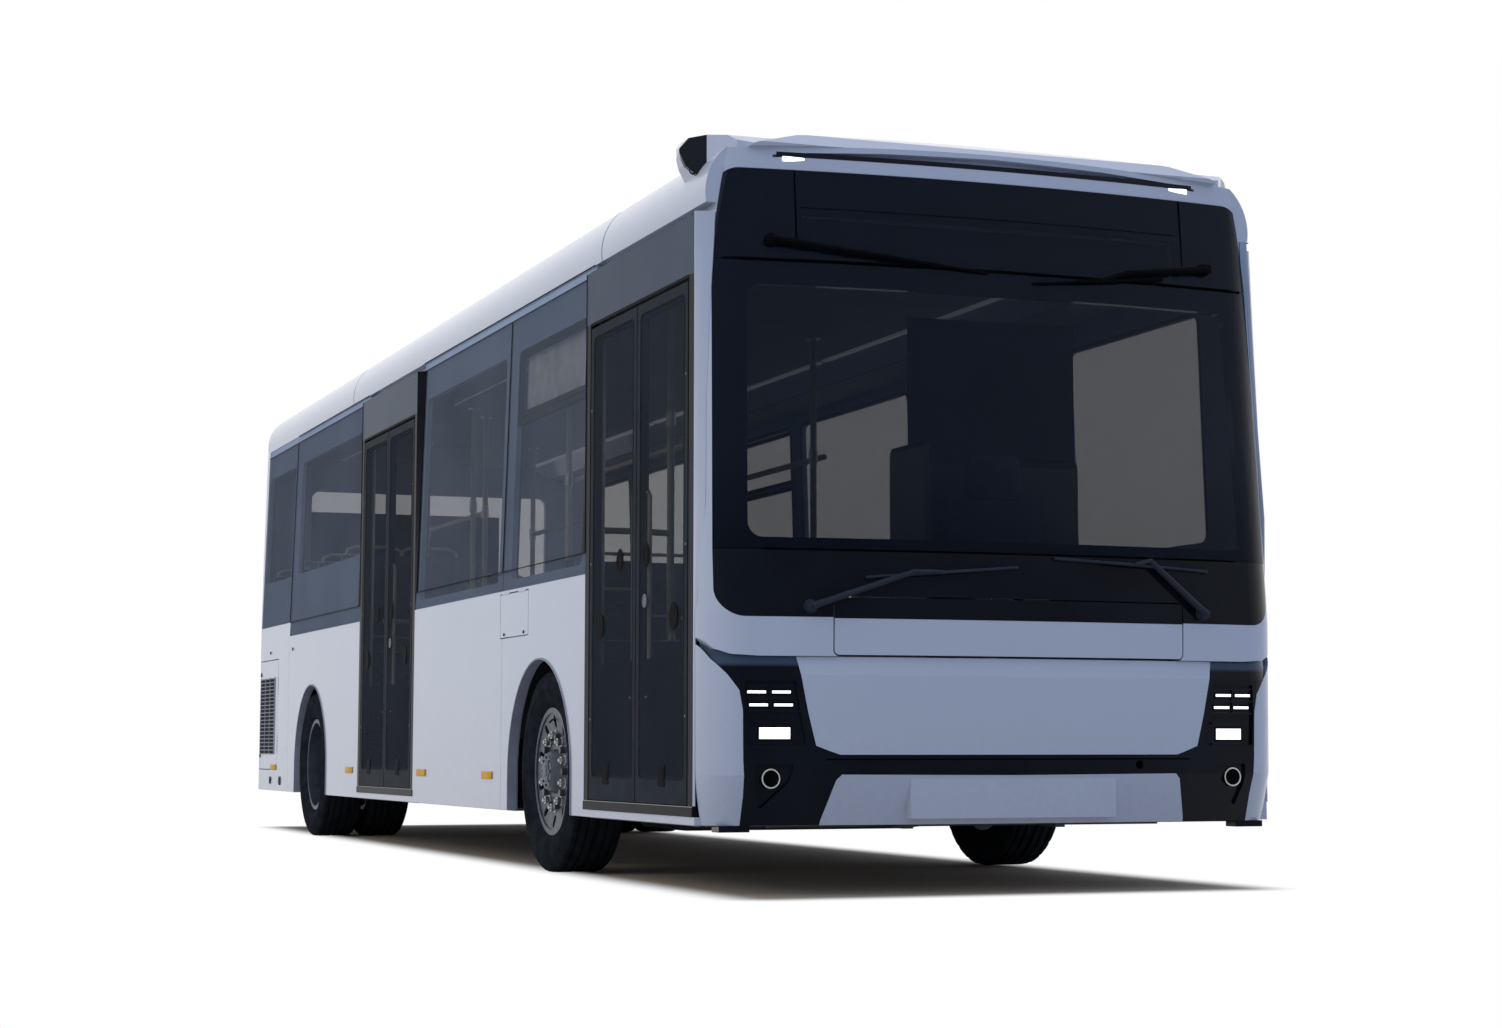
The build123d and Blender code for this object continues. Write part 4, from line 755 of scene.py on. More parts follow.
# Door details: handles, buttons, locks, seals and an inner rail on every leaf
LEAF_HALF = 0.33
LEAF_OUT = -1.275
for name, leaf_y, closing in (("front_door_rear", -3.755, -1), ("front_door_front", -4.425, 1),
                              ("rear_door_rear", 1.047, -1), ("rear_door_front", 0.377, 1)):
    body = f"{name}_leaf"
    handle = (LEAF_OUT, leaf_y - closing * 0.165, 1.1)
    inner = (LEAF_OUT, leaf_y + 0.195 if closing > 0 else leaf_y - 0.114, 1.37)
    shape.pin(handle, -0.0005, -0.0035, 0.056, 0.053, 40)
    shape.pin(handle, 0.007, 0.016, 0.05, 0.044, 40)
    shape.turn([(-0.0003, 0.026), (-0.0038, 0.028), (-0.0038, 0.034), (-0.0003, 0.036)], handle, 40)
    shape.pin(inner, -0.0004, -0.0026, 0.05, 0.048, 36)
    shape.turn([(-0.001, 0.026), (-0.004, 0.028), (-0.004, 0.034), (-0.001, 0.036)], inner, 36)
    # Dark kick panel behind the lower glass
    shape.slot = 1
    shape.box((LEAF_OUT + 0.012, leaf_y - 0.284, 0.452), (LEAF_OUT + 0.015, leaf_y + 0.284, 0.94))
    shape.slot = 0
    box_y = leaf_y - 0.015 if closing > 0 else leaf_y + 0.082
    shape.box((LEAF_OUT - 0.002, box_y - 0.045, 0.42), (LEAF_OUT + 0.002, box_y + 0.045, 0.508))
    shape.box((LEAF_OUT - 0.0033, box_y - 0.028, 0.44), (LEAF_OUT - 0.0015, box_y + 0.028, 0.49))
    shape.make(f"{body}_handles", [fitting_black, kick_grey], "black_trim", body, bevel=0.0008)

    if closing > 0:
        button = (LEAF_OUT, leaf_y + 0.212, 1.18)
        shape.turn([(0.0005, 0.019), (-0.0028, 0.02), (-0.0033, 0.024), (-0.0028, 0.028), (0.0005, 0.029)], button, 40)
        shape.pin(button, 0.0005, -0.0018, 0.0185, 0.0175, 32)
    for z in (0.7, 1.38, 2.06):
        shape.pin((LEAF_OUT, leaf_y - closing * (LEAF_HALF - 0.018), z), -0.0022, 0.001, 0.006, 0.0065, 16)
    shape.make(f"{body}_fittings", wheel_paint, "brushed_steel", body)

    # Seals: a soft bead on the closing edge, a lip below and a gasket line round the pane
    bead = leaf_y + closing * (LEAF_HALF + 0.0015)
    shape.tube([(LEAF_OUT + 0.01, bead, z) for z in (0.356, 1.4, 2.426)], 0.0052, 12, flat=0.55)
    shape.box((LEAF_OUT + 0.004, leaf_y - LEAF_HALF + 0.004, 0.3465),
              (LEAF_OUT + 0.01, leaf_y + LEAF_HALF - 0.004, 0.354))
    corner = 0.03
    gasket = ((-0.0035, -0.0002), (-0.0025, -0.0014), (0.0015, -0.0014), (0.0025, -0.0002))
    rows = [[(LEAF_OUT + x, y + (corner + r) * c, z + (corner + r) * s) for r, x in gasket]
            for y, z, c, s in rounded(leaf_y - 0.2865, leaf_y + 0.2865, 0.4495, 2.3875, corner)]
    shape.rings(rows + [rows[0]], caps=False).make(f"{body}_seals", rubber, "rubber", body)

    # Hand rail inside, within the leaf's own depth
    rail_x, rail_y = LEAF_OUT + 0.0245, leaf_y + closing * 0.225
    rail = [(rail_x - 0.01, 0.78), (rail_x, 0.8), (rail_x, 1.2), (rail_x, 1.62), (rail_x - 0.01, 1.64)]
    shape.tube([(x, rail_y, z) for x, z in rail], 0.0095, 14).make(f"{body}_rail", pole_coating, "pole_paint", body)

# Window gaskets and the opening windows
for sign, y in ((-1, -1.929), (-1, 3.77), (1, -3.1), (1, -1.34), (1, 0.47), (1, 2.3), (1, 3.77)):
    shape.side(y - 0.0031, y + 0.0031, BELT_Z + 0.004, 2.684, sign, -0.006, -0.0012)
for sign, y0, y1 in ((-1, -3.348, -0.03), (-1, 1.454, 3.768), (1, -4.846, 3.768)):
    shape.side(y0, y1, 2.6865, 2.6895, sign, -0.005, 0.0006)
    shape.side(y0, y1, 2.7345, 2.7375, sign, -0.005, 0.001)
    shape.side(y0, y1, BELT_Z - 0.0005, BELT_Z + 0.003, sign, -0.006, -0.0008)
for sign in SIDES:
    shape.side(3.768, 4.896, 2.6865, 2.6895, sign, -0.005, 0.0006)
shape.make("glass_seams", rubber, "rubber")

window_rows = [  # side, then the opening's two ends, foot and top
    (-1, -3.27, -2.06, 1.392, 2.52), (-1, -1.83, -0.11, 1.392, 2.52), (-1, 1.56, 3.6, 1.76, 2.53),
    (-1, 3.85, 4.85, 1.76, 2.53), (1, -4.46, -3.18, 1.47, 2.48), (1, -3.02, -1.44, 1.392, 2.53),
    (1, -1.25, 0.38, 1.392, 2.53), (1, 0.56, 2.2, 1.392, 2.53), (1, 2.38, 3.6, 1.76, 2.53),
    (1, 3.85, 4.85, 1.76, 2.53)]
for sign, y0, y1, z0, z1 in (window_rows[0], window_rows[5], window_rows[7]):
    bar, middle = z1 - 0.372, (y0 + y1) / 2
    shape.side(y0 + 0.02, y1 - 0.02, bar, bar + 0.03, sign, -0.032, -0.0065)
    frames = [(y0 + 0.02, y1 - 0.02, bar + 0.036, bar + 0.062), (y0 + 0.025, y1 - 0.025, z1 - 0.03, z1 - 0.008)]
    frames += [(y, y + 0.022, bar + 0.036, z1 - 0.008) for y in (y0 + 0.018, y1 - 0.04)]
    for place in frames:
        shape.side(*place, sign, -0.034, -0.0085)
    shape.side(middle - 0.045, middle + 0.045, bar + 0.04, bar + 0.056, sign, -0.046, -0.034)
shape.make("hopper_frames", satin_black, "black_trim", bevel=0.0015)
shape.rod((-1.203, -3.245, 2.5), (-1.203, -2.085, 2.5), 0.01)
shape.make("roller_blind_rod", satin_black, "black_trim")
shape.side(-3.245, -2.085, 2.195, 2.498, -1, -0.052, -0.0505)
roller_blind = shape.make("roller_blind", blind_cloth, "grey_trim")
shape.box((-0.925, 4.886, 1.806), (0.5, 4.896, 2.31))
for z in (1.93, 2.06, 2.19):
    shape.box((-0.905, 4.88, z), (0.48, 4.887, z + 0.01))
shape.make("rear_shelf_panel", shelf_grey, "grey_trim", bevel=0.002)

# Dark fairings that carry the doorway frames over to the leaning glass
for edge_y, ahead in ((-3.3495, 1), (-0.0285, -1), (1.4525, 1)):
    rows = []
    for z in (BELT_Z + 0.004, 1.7, 2.05, 2.4, 2.688):
        lean_x = side_x(z) + 0.001
        outline = [(-HALF + 0.0004, 0.0), (-(HALF + lean_x) / 2 - 0.0012, 0.022), (-lean_x, 0.048),
                   (0.01 - lean_x, 0.048), (0.01 - lean_x, 0.0)]
        rows.append([(x, edge_y + ahead * dy, z) for x, dy in outline])
    shape.rings(rows)
shape.make("doorway_fairings", satin_black, "black_trim", sharp=50.0)

# Inner trims round every side window
corner = 0.045
trim = ((-0.004, 0.036), (-0.004, 0.046), (0.018, 0.046), (0.018, 0.041))
for sign, y0, y1, z0, z1 in window_rows:
    rows = []
    for y, z, c, s in rounded(y0, y1, z0, z1, corner):
        rows.append([(sign * (side_x(z + (corner + r) * s) - depth), y + (corner + r) * c, z + (corner + r) * s)
                     for r, depth in trim])
    shape.rings(rows + [rows[0]], caps=False)
shape.make("window_trims", grey_plastic, "grey_trim")

# Small side items: amber markers, drain covers and cylinder locks
shapes = {"body": Shape(), "service_door": Shape()}
markers = [(-1, y, "body") for y in (-1.67, -0.24, 1.69)] + [(-1, 4.3, "service_door")]
markers += [(1, y, "body") for y in (-3.9, -1.67, -0.24, 1.69, 4.3)]
for sign, y, body in markers:
    rows = []
    for grow, out in ((0.003, -0.001), (0.003, 0.001), (0.001, 0.0026), (-0.003, 0.0036)):
        half, low, high = 0.098 + grow, 0.424 - grow, 0.456 + grow
        rows.append([(sign * (HALF + out), y + dy, z)
                     for dy, z in ((-half, low), (half, low), (half, high), (-half, high))])
    shapes[body].rings(rows)
for body, markers in shapes.items():
    markers.make(f"side_markers_{body}", amber_lens, "lamp_glass", body, bevel=0.0008)

for sign, y, z, size in ((-1, 4.05, 0.348, 0.03), (-1, 4.42, 0.348, 0.026), (1, 3.64, 0.348, 0.03),
                         (1, -3.6, 0.348, 0.026), (-1, 3.636, 1.25, 0.011), (-1, 4.487, 1.25, 0.011),
                         (1, 3.636, 1.25, 0.011)):
    profile = [(0.001, size * 0.4), (-0.0005, size * 0.9), (0.0012, size), (-0.002, size * 1.04), (-0.002, size * 0.3)]
    shape.turn(profile, (sign * (HALF + 0.0006), y, z), 28)
    shape.pin((sign * HALF, y, z), sign * -0.002, sign * 0.0012, size * 0.55, size * 0.5, 24)
shape.make("side_caps", satin_black, "black_trim")

# Service door: a lock at each rear corner, a mesh and the grille before it
for z in (0.52, 1.1):
    shape.pin((-HALF, 4.85, z), -0.0016, 0.002, 0.014, 0.015, 28)
    shape.box((-HALF - 0.0028, 4.848, z - 0.009), (-HALF - 0.001, 4.852, z + 0.009))
shape.make("service_door_locks", satin_black, "black_trim", "service_door", bevel=0.0004)
for y in spread(4.286, 4.868, 30):
    shape.pin((-HALF + 0.0322, y, 0.0), 0.532, 1.06, 0.0011, None, 6, "Z")
for z in spread(0.536, 1.0571, 27):
    shape.pin((-HALF + 0.0344, 0.0, z), 4.284, 4.87, 0.0011, None, 6, "Y")
shape.make("service_door_mesh", wheel_paint, "brushed_steel", "service_door")
shape.box((-HALF - 0.0003, 4.295, 0.534), (-HALF + 0.006, 4.855, 1.068))
shape.slot = 1
for y in spread(4.295, 4.8485, 3):
    shape.box((-HALF - 0.0016, y - 0.004, 0.53), (-HALF + 0.004, y + 0.01, 1.072))
for z in spread(0.53, 1.062, 20):
    shape.box((-HALF - 0.0024, 4.293, z), (-HALF + 0.004, 4.857, z + 0.0065))
shape.make("service_door_grille", [fitting_black, arch_lip], "black_trim", "service_door")

for y in (-2.33, -1.97):
    shape.pin((-HALF, y, 1.128), -0.001, 0.002, 0.007, 0.008, 24)
    shape.box((-HALF - 0.0016, y - 0.001, 1.124), (-HALF - 0.0008, y + 0.001, 1.132))
shape.make("side_flap_locks", satin_black, "black_trim", "side_flap", bevel=0.0003)

# Sills: a ribbed tread strip under each door
DOORWAY_YS = (-4.09, 0.712)
for centre_y in DOORWAY_YS:
    for x in spread(-1.2755, -1.2507, 4):
        shape.box((x, centre_y - 0.735, 0.3448), (x + 0.0028, centre_y + 0.735, 0.3468))
shape.make("sill_ribs", steel, "brushed_steel")

# Door posts: seals that the leaves close against
for centre_y in DOORWAY_YS:
    for sign in SIDES:
        shape.tube([(-1.268, centre_y + sign * 0.6795, z) for z in (0.35, 1.4, 2.44)], 0.0048, 10)
    shape.box((-1.2745, centre_y - 0.672, 2.4435), (-1.2695, centre_y + 0.672, 2.4575))
shape.make("door_post_seals", rubber, "rubber")

# Inside: ceiling lining, light strips, seat pads, driver's place and rails
FLOOR_TOP = 0.33
PLATFORM_TOP = 0.8
STEP_Y = 1.6
for y0, y1 in ((-4.8, -3.1), (-3.09, -1.4), (-1.39, 0.3), (0.31, 2.0), (2.01, 3.6), (3.61, 4.86)):
    shape.prism([(-0.7, 2.6995), (0.7, 2.6995), (0.7, 2.6935), (-0.7, 2.6935)], "Y", y0, y1)
    for sign in SIDES:
        panel = ((0.885, 2.6095), (1.185, 2.6095), (1.185, 2.6045), (0.885, 2.6045))
        shape.prism([(sign * x, z) for x, z in panel], "Y", y0, y1)
shape.make("ceiling_lining", lining, "grey_trim", bevel=0.001)
for y0 in (-4.1, -2.6, -1.1, 0.4, 1.9, 3.4):
    for sign in SIDES:
        strip = ((0.714, 2.699), (0.756, 2.699), (0.752, 2.688), (0.718, 2.688))
        shape.prism([(sign * x, z) for x, z in strip], "Y", y0, y0 + 1.4)
shape.make("light_strips", light_strip, "lamp_glass", bevel=0.002)

seat_rows = [(x, y, FLOOR_TOP) for sign, y in ((-1, -1.7), (-1, -0.9), (1, -1.6), (1, -0.8), (1, 0.9))
             for x in (sign * 1.0, sign * 0.56)]
seat_rows += [(x, 2.05, PLATFORM_TOP) for x in (-1.0, -0.64, 0.64, 1.0)]
seat_rows += [(x, y, PLATFORM_TOP) for y in (2.82, 3.6) for x in (-1.0, 1.0)]
seat_rows += [(x, 4.5, PLATFORM_TOP) for x in (-1.0, -0.5, 0.0, 0.5, 1.0)]


def groove(distance, width, depth):
    """How deep a sewn channel draws a pad in, at a distance from it."""
    return depth * math.exp(-((distance / width) ** 2))


def place_pad(pads, width, length, thick, channels, origin, along, out):
    """A crowned pad with sewn channels across, from an origin with its length and crown in directions of YZ."""
    rows = []
    for t in spread(0.0, 1.0, 18):
        ease = math.sin(math.pi * t) if t < 1.0 else math.sin(math.pi)
        half = width / 2 * (0.9 + 0.1 * ease ** 0.35) - 0.006 * (1.0 - ease)
        crown = thick * (0.42 + 0.58 * ease ** 0.45)
        crown -= sum(groove((t - place) * length, 0.007, 0.007) for place in channels)
        ring = []
        for u in spread(-1.0, 1.0, 14):
            lift = crown * (1.0 - 0.3 * u * u) * (1.0 - abs(u) ** 9)
            ring.append((u * half, max(0.002, lift - groove((abs(u) - 0.72) * half, 0.006, 0.004))))
        ring += [(half * 0.96, 0.0), (-half * 0.96, 0.0)]
        v = t * length
        rows.append([(origin[0] + u, origin[1] + along[0] * v + out[0] * w, origin[2] + along[1] * v + out[1] * w)
                     for u, w in ring])
    pads.rings(rows)


grips = Shape()
for x, y, z in seat_rows:
    place_pad(shape, 0.405, 0.37, 0.04, (0.33, 0.66), (x, y - 0.195, z + 0.4408), (0.9993, 0.037), (-0.037, 0.9993))
    place_pad(shape, 0.405, 0.5, 0.034, (0.25, 0.55, 0.8), (x, y + 0.1955, z + 0.492), (0.1074, 0.9942),
              (-0.9942, 0.1074))
    grips.tube([(x + dx, y + dy, z + dz) for dx, dy, dz in (
        (-0.205, 0.285, 0.94), (-0.175, 0.29, 1.045), (-0.12, 0.292, 1.066), (0.12, 0.292, 1.066),
        (0.175, 0.29, 1.045), (0.205, 0.285, 0.94))], 0.012, 10)
seat_pads = shape.make("seat_pads", seat_cloth, "seat_fabric", sharp=60.0)
grips.make("seat_grips", pole_coating, "pole_paint")

# Driver's seat: cushion, backrest, head restraint and a bellows base
driver_x, driver_y = 0.64, -3.82
place_pad(shape, 0.47, 0.4, 0.055, (0.5,), (driver_x, driver_y - 0.225, 1.0105), (0.9995, -0.025), (0.025, 0.9995))
place_pad(shape, 0.46, 0.64, 0.05, (0.3, 0.6), (driver_x, driver_y + 0.178, 1.07), (0.124, 0.9923),
          (-0.9923, 0.124))
place_pad(shape, 0.27, 0.2, 0.045, (), (driver_x, driver_y + 0.262, 1.725), (0.1, 0.995), (-0.995, 0.1))
driver_pads = shape.make("driver_pads", seat_cloth, "seat_fabric", sharp=60.0)
head = ((0.262, 1.715), (0.338, 1.715), (0.33, 1.93), (0.285, 1.93))
shape.prism([(driver_y + dy, z) for dy, z in head], "X", driver_x - 0.13, driver_x + 0.13)
for k in range(5):
    fold, z = 0.006 * (k % 2), 0.56 + k * 0.07
    shape.box((driver_x - 0.172 + fold, driver_y - 0.132 + fold, z),
              (driver_x + 0.172 - fold, driver_y + 0.232 - fold, z + 0.06))
shape.make("driver_seat_base", satin_black, "black_trim", bevel=0.006)

# Dashboard details: binnacle, screen, switches, vents and the cash tray beside it
shape.prism([(-4.79, 1.335), (-4.74, 1.4), (-4.66, 1.402), (-4.64, 1.385), (-4.655, 1.215)], "X", 0.41, 0.87)
shape.prism([(-4.7, 1.255), (-4.69, 1.345), (-4.655, 1.345), (-4.645, 1.225)], "X", 0.905, 1.15)
shape.box((0.07, -4.7, 1.24), (0.3, -4.56, 1.275))
for x in spread(0.925, 1.09, 3):
    for m in range(6):
        drop = m * 0.004
        shape.box((x, -4.643 + drop, 1.232 - drop), (x + 0.04, -4.64 + drop, 1.25 - drop))
for x in (0.18, 0.64, 1.06):
    for m in range(4):
        y, z = -4.812 + m * 0.012, 1.329 - m * 0.006
        shape.box((x - 0.07, y, z), (x + 0.07, y + 0.006, z + 0.007))
shape.make("dash_parts", satin_black, "black_trim", bevel=0.004)
shape.prism([(-4.655, 1.245), (-4.6405, 1.368), (-4.6375, 1.366), (-4.652, 1.243)], "X", 0.44, 0.84)
shape.prism([(-4.6455, 1.245), (-4.6545, 1.335), (-4.652, 1.336), (-4.643, 1.246)], "X", 0.925, 1.13)
shape.make("dash_screens", gloss_black, "black_trim")

# Steering wheel: a grip with finger swells, a boss cover and stalks
wheel_place = Matrix.Translation((0.64, -4.44, 1.13)) @ Matrix.Rotation(math.radians(-35.0), 4, "X")


def on_wheel(x, y, z):
    """A point in the steering wheel's own frame."""
    return wheel_place @ Vector((x, y, z))


rows = []
for step in range(96):
    angle = math.tau * step / 96
    swell = 0.0178 + 0.0008 * math.cos(24 * angle)
    rows.append([on_wheel(r * math.cos(angle), r * math.sin(angle), z)
                 for r, z in circle((0.225, 0.0), swell, 0, 360, 12)[:-1]])
shape.rings(rows + [rows[0]], caps=False)
for radius, low, high in ((0.062, 0.024, 0.036), (0.048, 0.036, 0.044)):
    shape.rod(on_wheel(0.0, 0.0, low), on_wheel(0.0, 0.0, high), radius, radius * 0.9, 32)
for sign in SIDES:
    shape.rod(on_wheel(sign * 0.03, 0.0, -0.085), on_wheel(sign * 0.19, 0.03, -0.07), 0.007, 0.01, 12)
shape.make("steering_grip", satin_black, "black_trim")

# Rails: grab poles' flanges and sockets, ceiling rails and seat-side rails
pole_rows = [
    (-0.82, -3.18, 1.05), (-0.37, -2.7, FLOOR_TOP), (0.37, -1.94, FLOOR_TOP), (-0.48, -0.35, FLOOR_TOP),
    (0.48, 0.25, FLOOR_TOP), (-0.56, 1.5, FLOOR_TOP), (0.38, 1.9, PLATFORM_TOP),
    (-0.38, 1.9, PLATFORM_TOP), (0.38, 3.5, PLATFORM_TOP), (-0.38, 3.5, PLATFORM_TOP)]
for x, y, z in pole_rows:
    top = 2.6935 if abs(x) < 0.76 else 2.7 - (abs(x) - 0.76) * 0.75 - 0.014
    for low, high, *size in (
            (z + 0.0005, z + 0.012, 0.042, 0.036, 28), (z + 0.012, z + 0.045, 0.026, 0.0185, 28),
            (top - 0.0005, top - 0.01, 0.04, 0.034, 28), (2.04, 2.11, 0.0235, None, 24)):
        shape.pin((x, y, 0.0), low, high, *size, "Z")
shape.make("pole_flanges", steel, "brushed_steel", bevel=0.0006)
RAIL_Z = 2.075
for x, y0, middle, y1 in ((-0.43, -2.7, -1.525, -0.35), (0.43, -1.94, -0.845, 0.25),
                          (-0.38, 1.9, 2.7, 3.5), (0.38, 1.9, 2.7, 3.5)):
    shape.tube([(x, y, RAIL_Z) for y in (y0, middle, y1)], 0.016, 16)
shape.tube([(-1.19, -3.225, 1.55), (-1.0, -3.225, 1.55), (-0.82, -3.18, 1.55)], 0.015, 14)
shape.tube([(x, 1.5, 1.35) for x in (-0.56, -0.8, -1.12)], 0.015, 14)
shape.make("grab_rails", pole_coating, "pole_paint")

# Stop buttons on the poles
for x, y, z in pole_rows[1:5]:
    shape.slot = 0
    shape.box((x - 0.026, y - 0.03, 1.5), (x + 0.026, y + 0.022, 1.62))
    shape.slot = 1
    shape.pin((x, y, 1.56), -0.03, -0.037, 0.019, 0.017, 24, "Y")
shape.make("stop_buttons", [grey_plastic, red_lens], "grey_trim", bevel=0.003)

# Driver's partition: a rail round its top, posts and a dark upper panel
rail = ((1.16, -3.33), (0.42, -3.33), (0.3, -3.345), (0.19, -3.43), (0.142, -3.53), (0.14, -3.895))
shape.tube([(x, y, 1.925) for x, y in rail], 0.016, 14)
for x in (0.42, 0.8, 1.1):
    shape.box((x - 0.02, -3.3175, 0.6), (x + 0.02, -3.315, 1.9))
shape.make("partition_frame", satin_black, "black_trim", bevel=0.001)
shape.box((0.3, -3.334, 1.93), (1.165, -3.322, 2.59)).box((0.296, -3.345, 1.9), (1.17, -3.311, 1.932))
shape.make("partition_upper", partition_dark, "grey_trim", bevel=0.002)

# Wheel boxes: edge trims; the platform's step edge with its ribs
for sign in SIDES:
    for y in (-3.25, -1.97):
        shape.box((sign * 0.405, y - 0.014, 1.0502), (sign * 1.205, y + 0.014, 1.056))
    shape.box((sign * 0.4, -3.25, 1.0502), (sign * 0.428, -1.97, 1.056))
for sign in SIDES:
    shape.box((sign * 0.57, 2.295, 1.0502), (sign * 0.598, 3.635, 1.056))
shape.box((-1.2, STEP_Y - 0.002, 0.785), (1.2, STEP_Y + 0.035, 0.8035))
for y in spread(STEP_Y + 0.003, STEP_Y + 0.027, 3):
    shape.box((-1.2, y, 0.803), (1.2, y + 0.004, 0.805))
shape.make("floor_edges", steel, "brushed_steel", bevel=0.001)

# Rear: lamp rings, hatch louvres and handles, blank plate, reflectors and marker lamps
for sign in SIDES:
    for x, z, radius, lens in ((1.06, 1.15, 0.055, 2), (1.06, 1.01, 0.055, 1), (1.06, 0.87, 0.055, None),
                               (1.01, 2.64, 0.038, None)):
        centre = (sign * x, rear_y(x) + 0.004, z)
        shape.slot = 0
        profile = ((-0.006, 0.0006), (-0.006, 0.01), (-0.0005, 0.01), (0.003, 0.005), (0.004, 0.0006))
        shape.turn([(along, radius + r) for along, r in profile], centre, 44, "Y")
        if lens:
            shape.slot = lens
            profile = ((-0.004, 0.01), (0.002, 0.01), (0.003, 0.02), (0.0015, 0.032), (0.003, radius))
            shape.turn([(along, radius - r) for along, r in profile], centre, 44, "Y", caps=True)
            continue
        shape.slot = 3
        for ring in (radius * 0.5, radius * 0.75):
            profile = ((0.0005, 0.0), (0.0022, 0.001), (0.0022, 0.003), (0.0005, 0.004))
            shape.turn([(along, ring + r) for along, r in profile], centre, 40, "Y")
shape.make("rear_lamp_rings", [chrome, amber_lens, red_lens, clear_lens], "lamp_glass")

for z in spread(0.66, 1.012, 8):
    slat = ((-0.001, 0.0), (0.012, 0.006), (0.013, 0.01), (-0.001, 0.03))
    shape.rings([[(x, rear_y(x) + out, z + up) for out, up in slat] for x in spread(-0.58, 0.58, 12)])
for x0, x1, z0, z1 in ((-0.61, -0.588, 0.64, 1.066), (0.588, 0.61, 0.64, 1.066), (-0.61, 0.61, 0.63, 0.648),
                       (-0.61, 0.61, 1.058, 1.076)):
    shape.rear(x0, x1, z0, z1, -0.001, 0.01)
shape.make("hatch_louvres", satin_black, "black_trim", "rear_hatch", bevel=0.001)
for x in (-0.6, 0.6):
    lock = (x, rear_y(x), 1.16)
    shape.turn([(-0.001, 0.022), (0.004, 0.022), (0.0055, 0.018), (0.004, 0.013), (-0.001, 0.012)], lock, 32, "Y")
    shape.pin(lock, -0.001, 0.003, 0.0115, 0.01, 24, "Y")
shape.make("hatch_locks", steel, "brushed_steel", "rear_hatch")

shape.rear(-0.262, 0.262, 1.215, 1.33, -0.001, 0.004)
shape.make("rear_plate_place", satin_black, "black_trim", "rear_hatch", bevel=0.001)
shape.rear(-0.252, 0.252, 1.222, 1.323, 0.004, 0.0055)
shape.make("rear_plate_blank", paint, "white_paint", "rear_hatch", bevel=0.0006)
for sign in SIDES:
    shape.rear(sign * 0.08, sign * 0.15, 1.338, 1.352, 0.0, 0.012, 3)
shape.make("plate_lamps", satin_black, "black_trim", "rear_hatch", bevel=0.002)

for sign in SIDES:
    shape.slot = 0
    shape.rear(sign * 0.98, sign * 1.08, 0.62, 0.665, -0.001, 0.006, 4)
    shape.slot = 1
    shape.rear(sign * 0.974, sign * 1.086, 0.614, 0.671, -0.001, 0.003, 4)
shape.slot = 0
shape.rear(-0.25, 0.25, 2.628, 2.65, -0.001, 0.006, 8)
shape.slot = 1
shape.rear(-0.262, 0.262, 2.62, 2.658, -0.001, 0.003, 8)
shape.make("rear_reflectors", [red_lens, satin_black], "lamp_glass", bevel=0.001)

# Rear bumper: parking sensors and a step tread
for sign in SIDES:
    for x in (0.42, 0.95):
        profile = [(-0.001, 0.0115), (0.0012, 0.0115), (0.0018, 0.0095), (0.0005, 0.009), (0.0005, 0.0)]
        shape.turn(profile, (sign * x, rear_y(x) + 0.035, 0.405), 28, "Y", caps=True)
shape.make("bumper_sensors", gloss_black, "black_trim")
for back in spread(0.006, 0.0268, 4):
    rib = ((0.0, 0.4995), (0.0026, 0.4995), (0.0022, 0.5018), (0.0004, 0.5018))
    shape.rings([[(x, rear_y(x) + back + out, z) for out, z in rib] for x in spread(-1.1, 1.1, 20)])
shape.make("bumper_tread", rubber, "rubber")

# Roof: unit louvres, fans, seams, hatches, an aerial foot and gutters
UNIT_TOP = 3.098
for y in (1.15, 2.85):
    for x in (-0.45, 0.45):
        fan = (x, y, UNIT_TOP)
        shape.turn([(-0.0105, 0.235), (-0.001, 0.235), (-0.0009, 0.225), (-0.0125, 0.215)], fan, 56, "Z")
        for ring in (0.055, 0.1, 0.145, 0.19):
            profile = [(-0.0045, ring), (-0.0008, ring), (-0.0008, ring + 0.004), (-0.0045, ring + 0.004)]
            shape.turn(profile, fan, 48, "Z")
        shape.pin(fan, -0.004, -0.0004, 0.045, 0.042, 32, "Z")
        for near, far in zip(circle((x, y), 0.04, 0, 360, 8)[:-1], circle((x, y), 0.226, 0, 360, 8)):
            shape.rod((*near, UNIT_TOP - 0.0028), (*far, UNIT_TOP - 0.0028), 0.0022, sides=8)
shape.make("roof_unit_fans", satin_black, "black_trim")
for sign in SIDES:
    for y in spread(1.02, 2.97, 25):
        louvre = ((0.928, 0.0), (0.9318, 0.012), (0.9318, 0.048), (0.928, 0.054))
        shape.rings([[(sign * x, y + dy, z) for x, dy in louvre] for z in (3.0, 3.052)])
shape.make("roof_unit_louvres", grey_plastic, "grey_trim", bevel=0.0006)
for y in (0.96, 2.0, 3.04):
    shape.box((-0.925, y - 0.006, UNIT_TOP - 0.003), (0.925, y + 0.006, UNIT_TOP - 0.0002))
shape.make("roof_unit_seams", rubber, "rubber")


def crown(x):
    """The roof's height at a distance from the middle."""
    edge, top, low = 1.15, 3.004, 2.966
    rise = top - low
    radius = (edge * edge + rise * rise) / (2 * rise)
    return top - radius + math.sqrt(radius * radius - x * x)


for y in (-3.3, -1.45, 0.45, 3.55, 4.6):
    seam = ((-0.012, -0.002), (-0.009, 0.003), (0.009, 0.003), (0.012, -0.002))
    shape.rings([[(x, y + dy, crown(x) + up) for dy, up in seam] for x in spread(-1.12, 1.12, 24)])
for sign in SIDES:
    gutter = ((1.118, -0.003), (1.122, 0.01), (1.13, 0.01), (1.134, -0.003))
    shape.rings([[(sign * x, y, crown(x) + up) for x, up in gutter] for y in spread(-3.55, 4.88, 12)])
shape.make("roof_seams", paint, "white_paint")

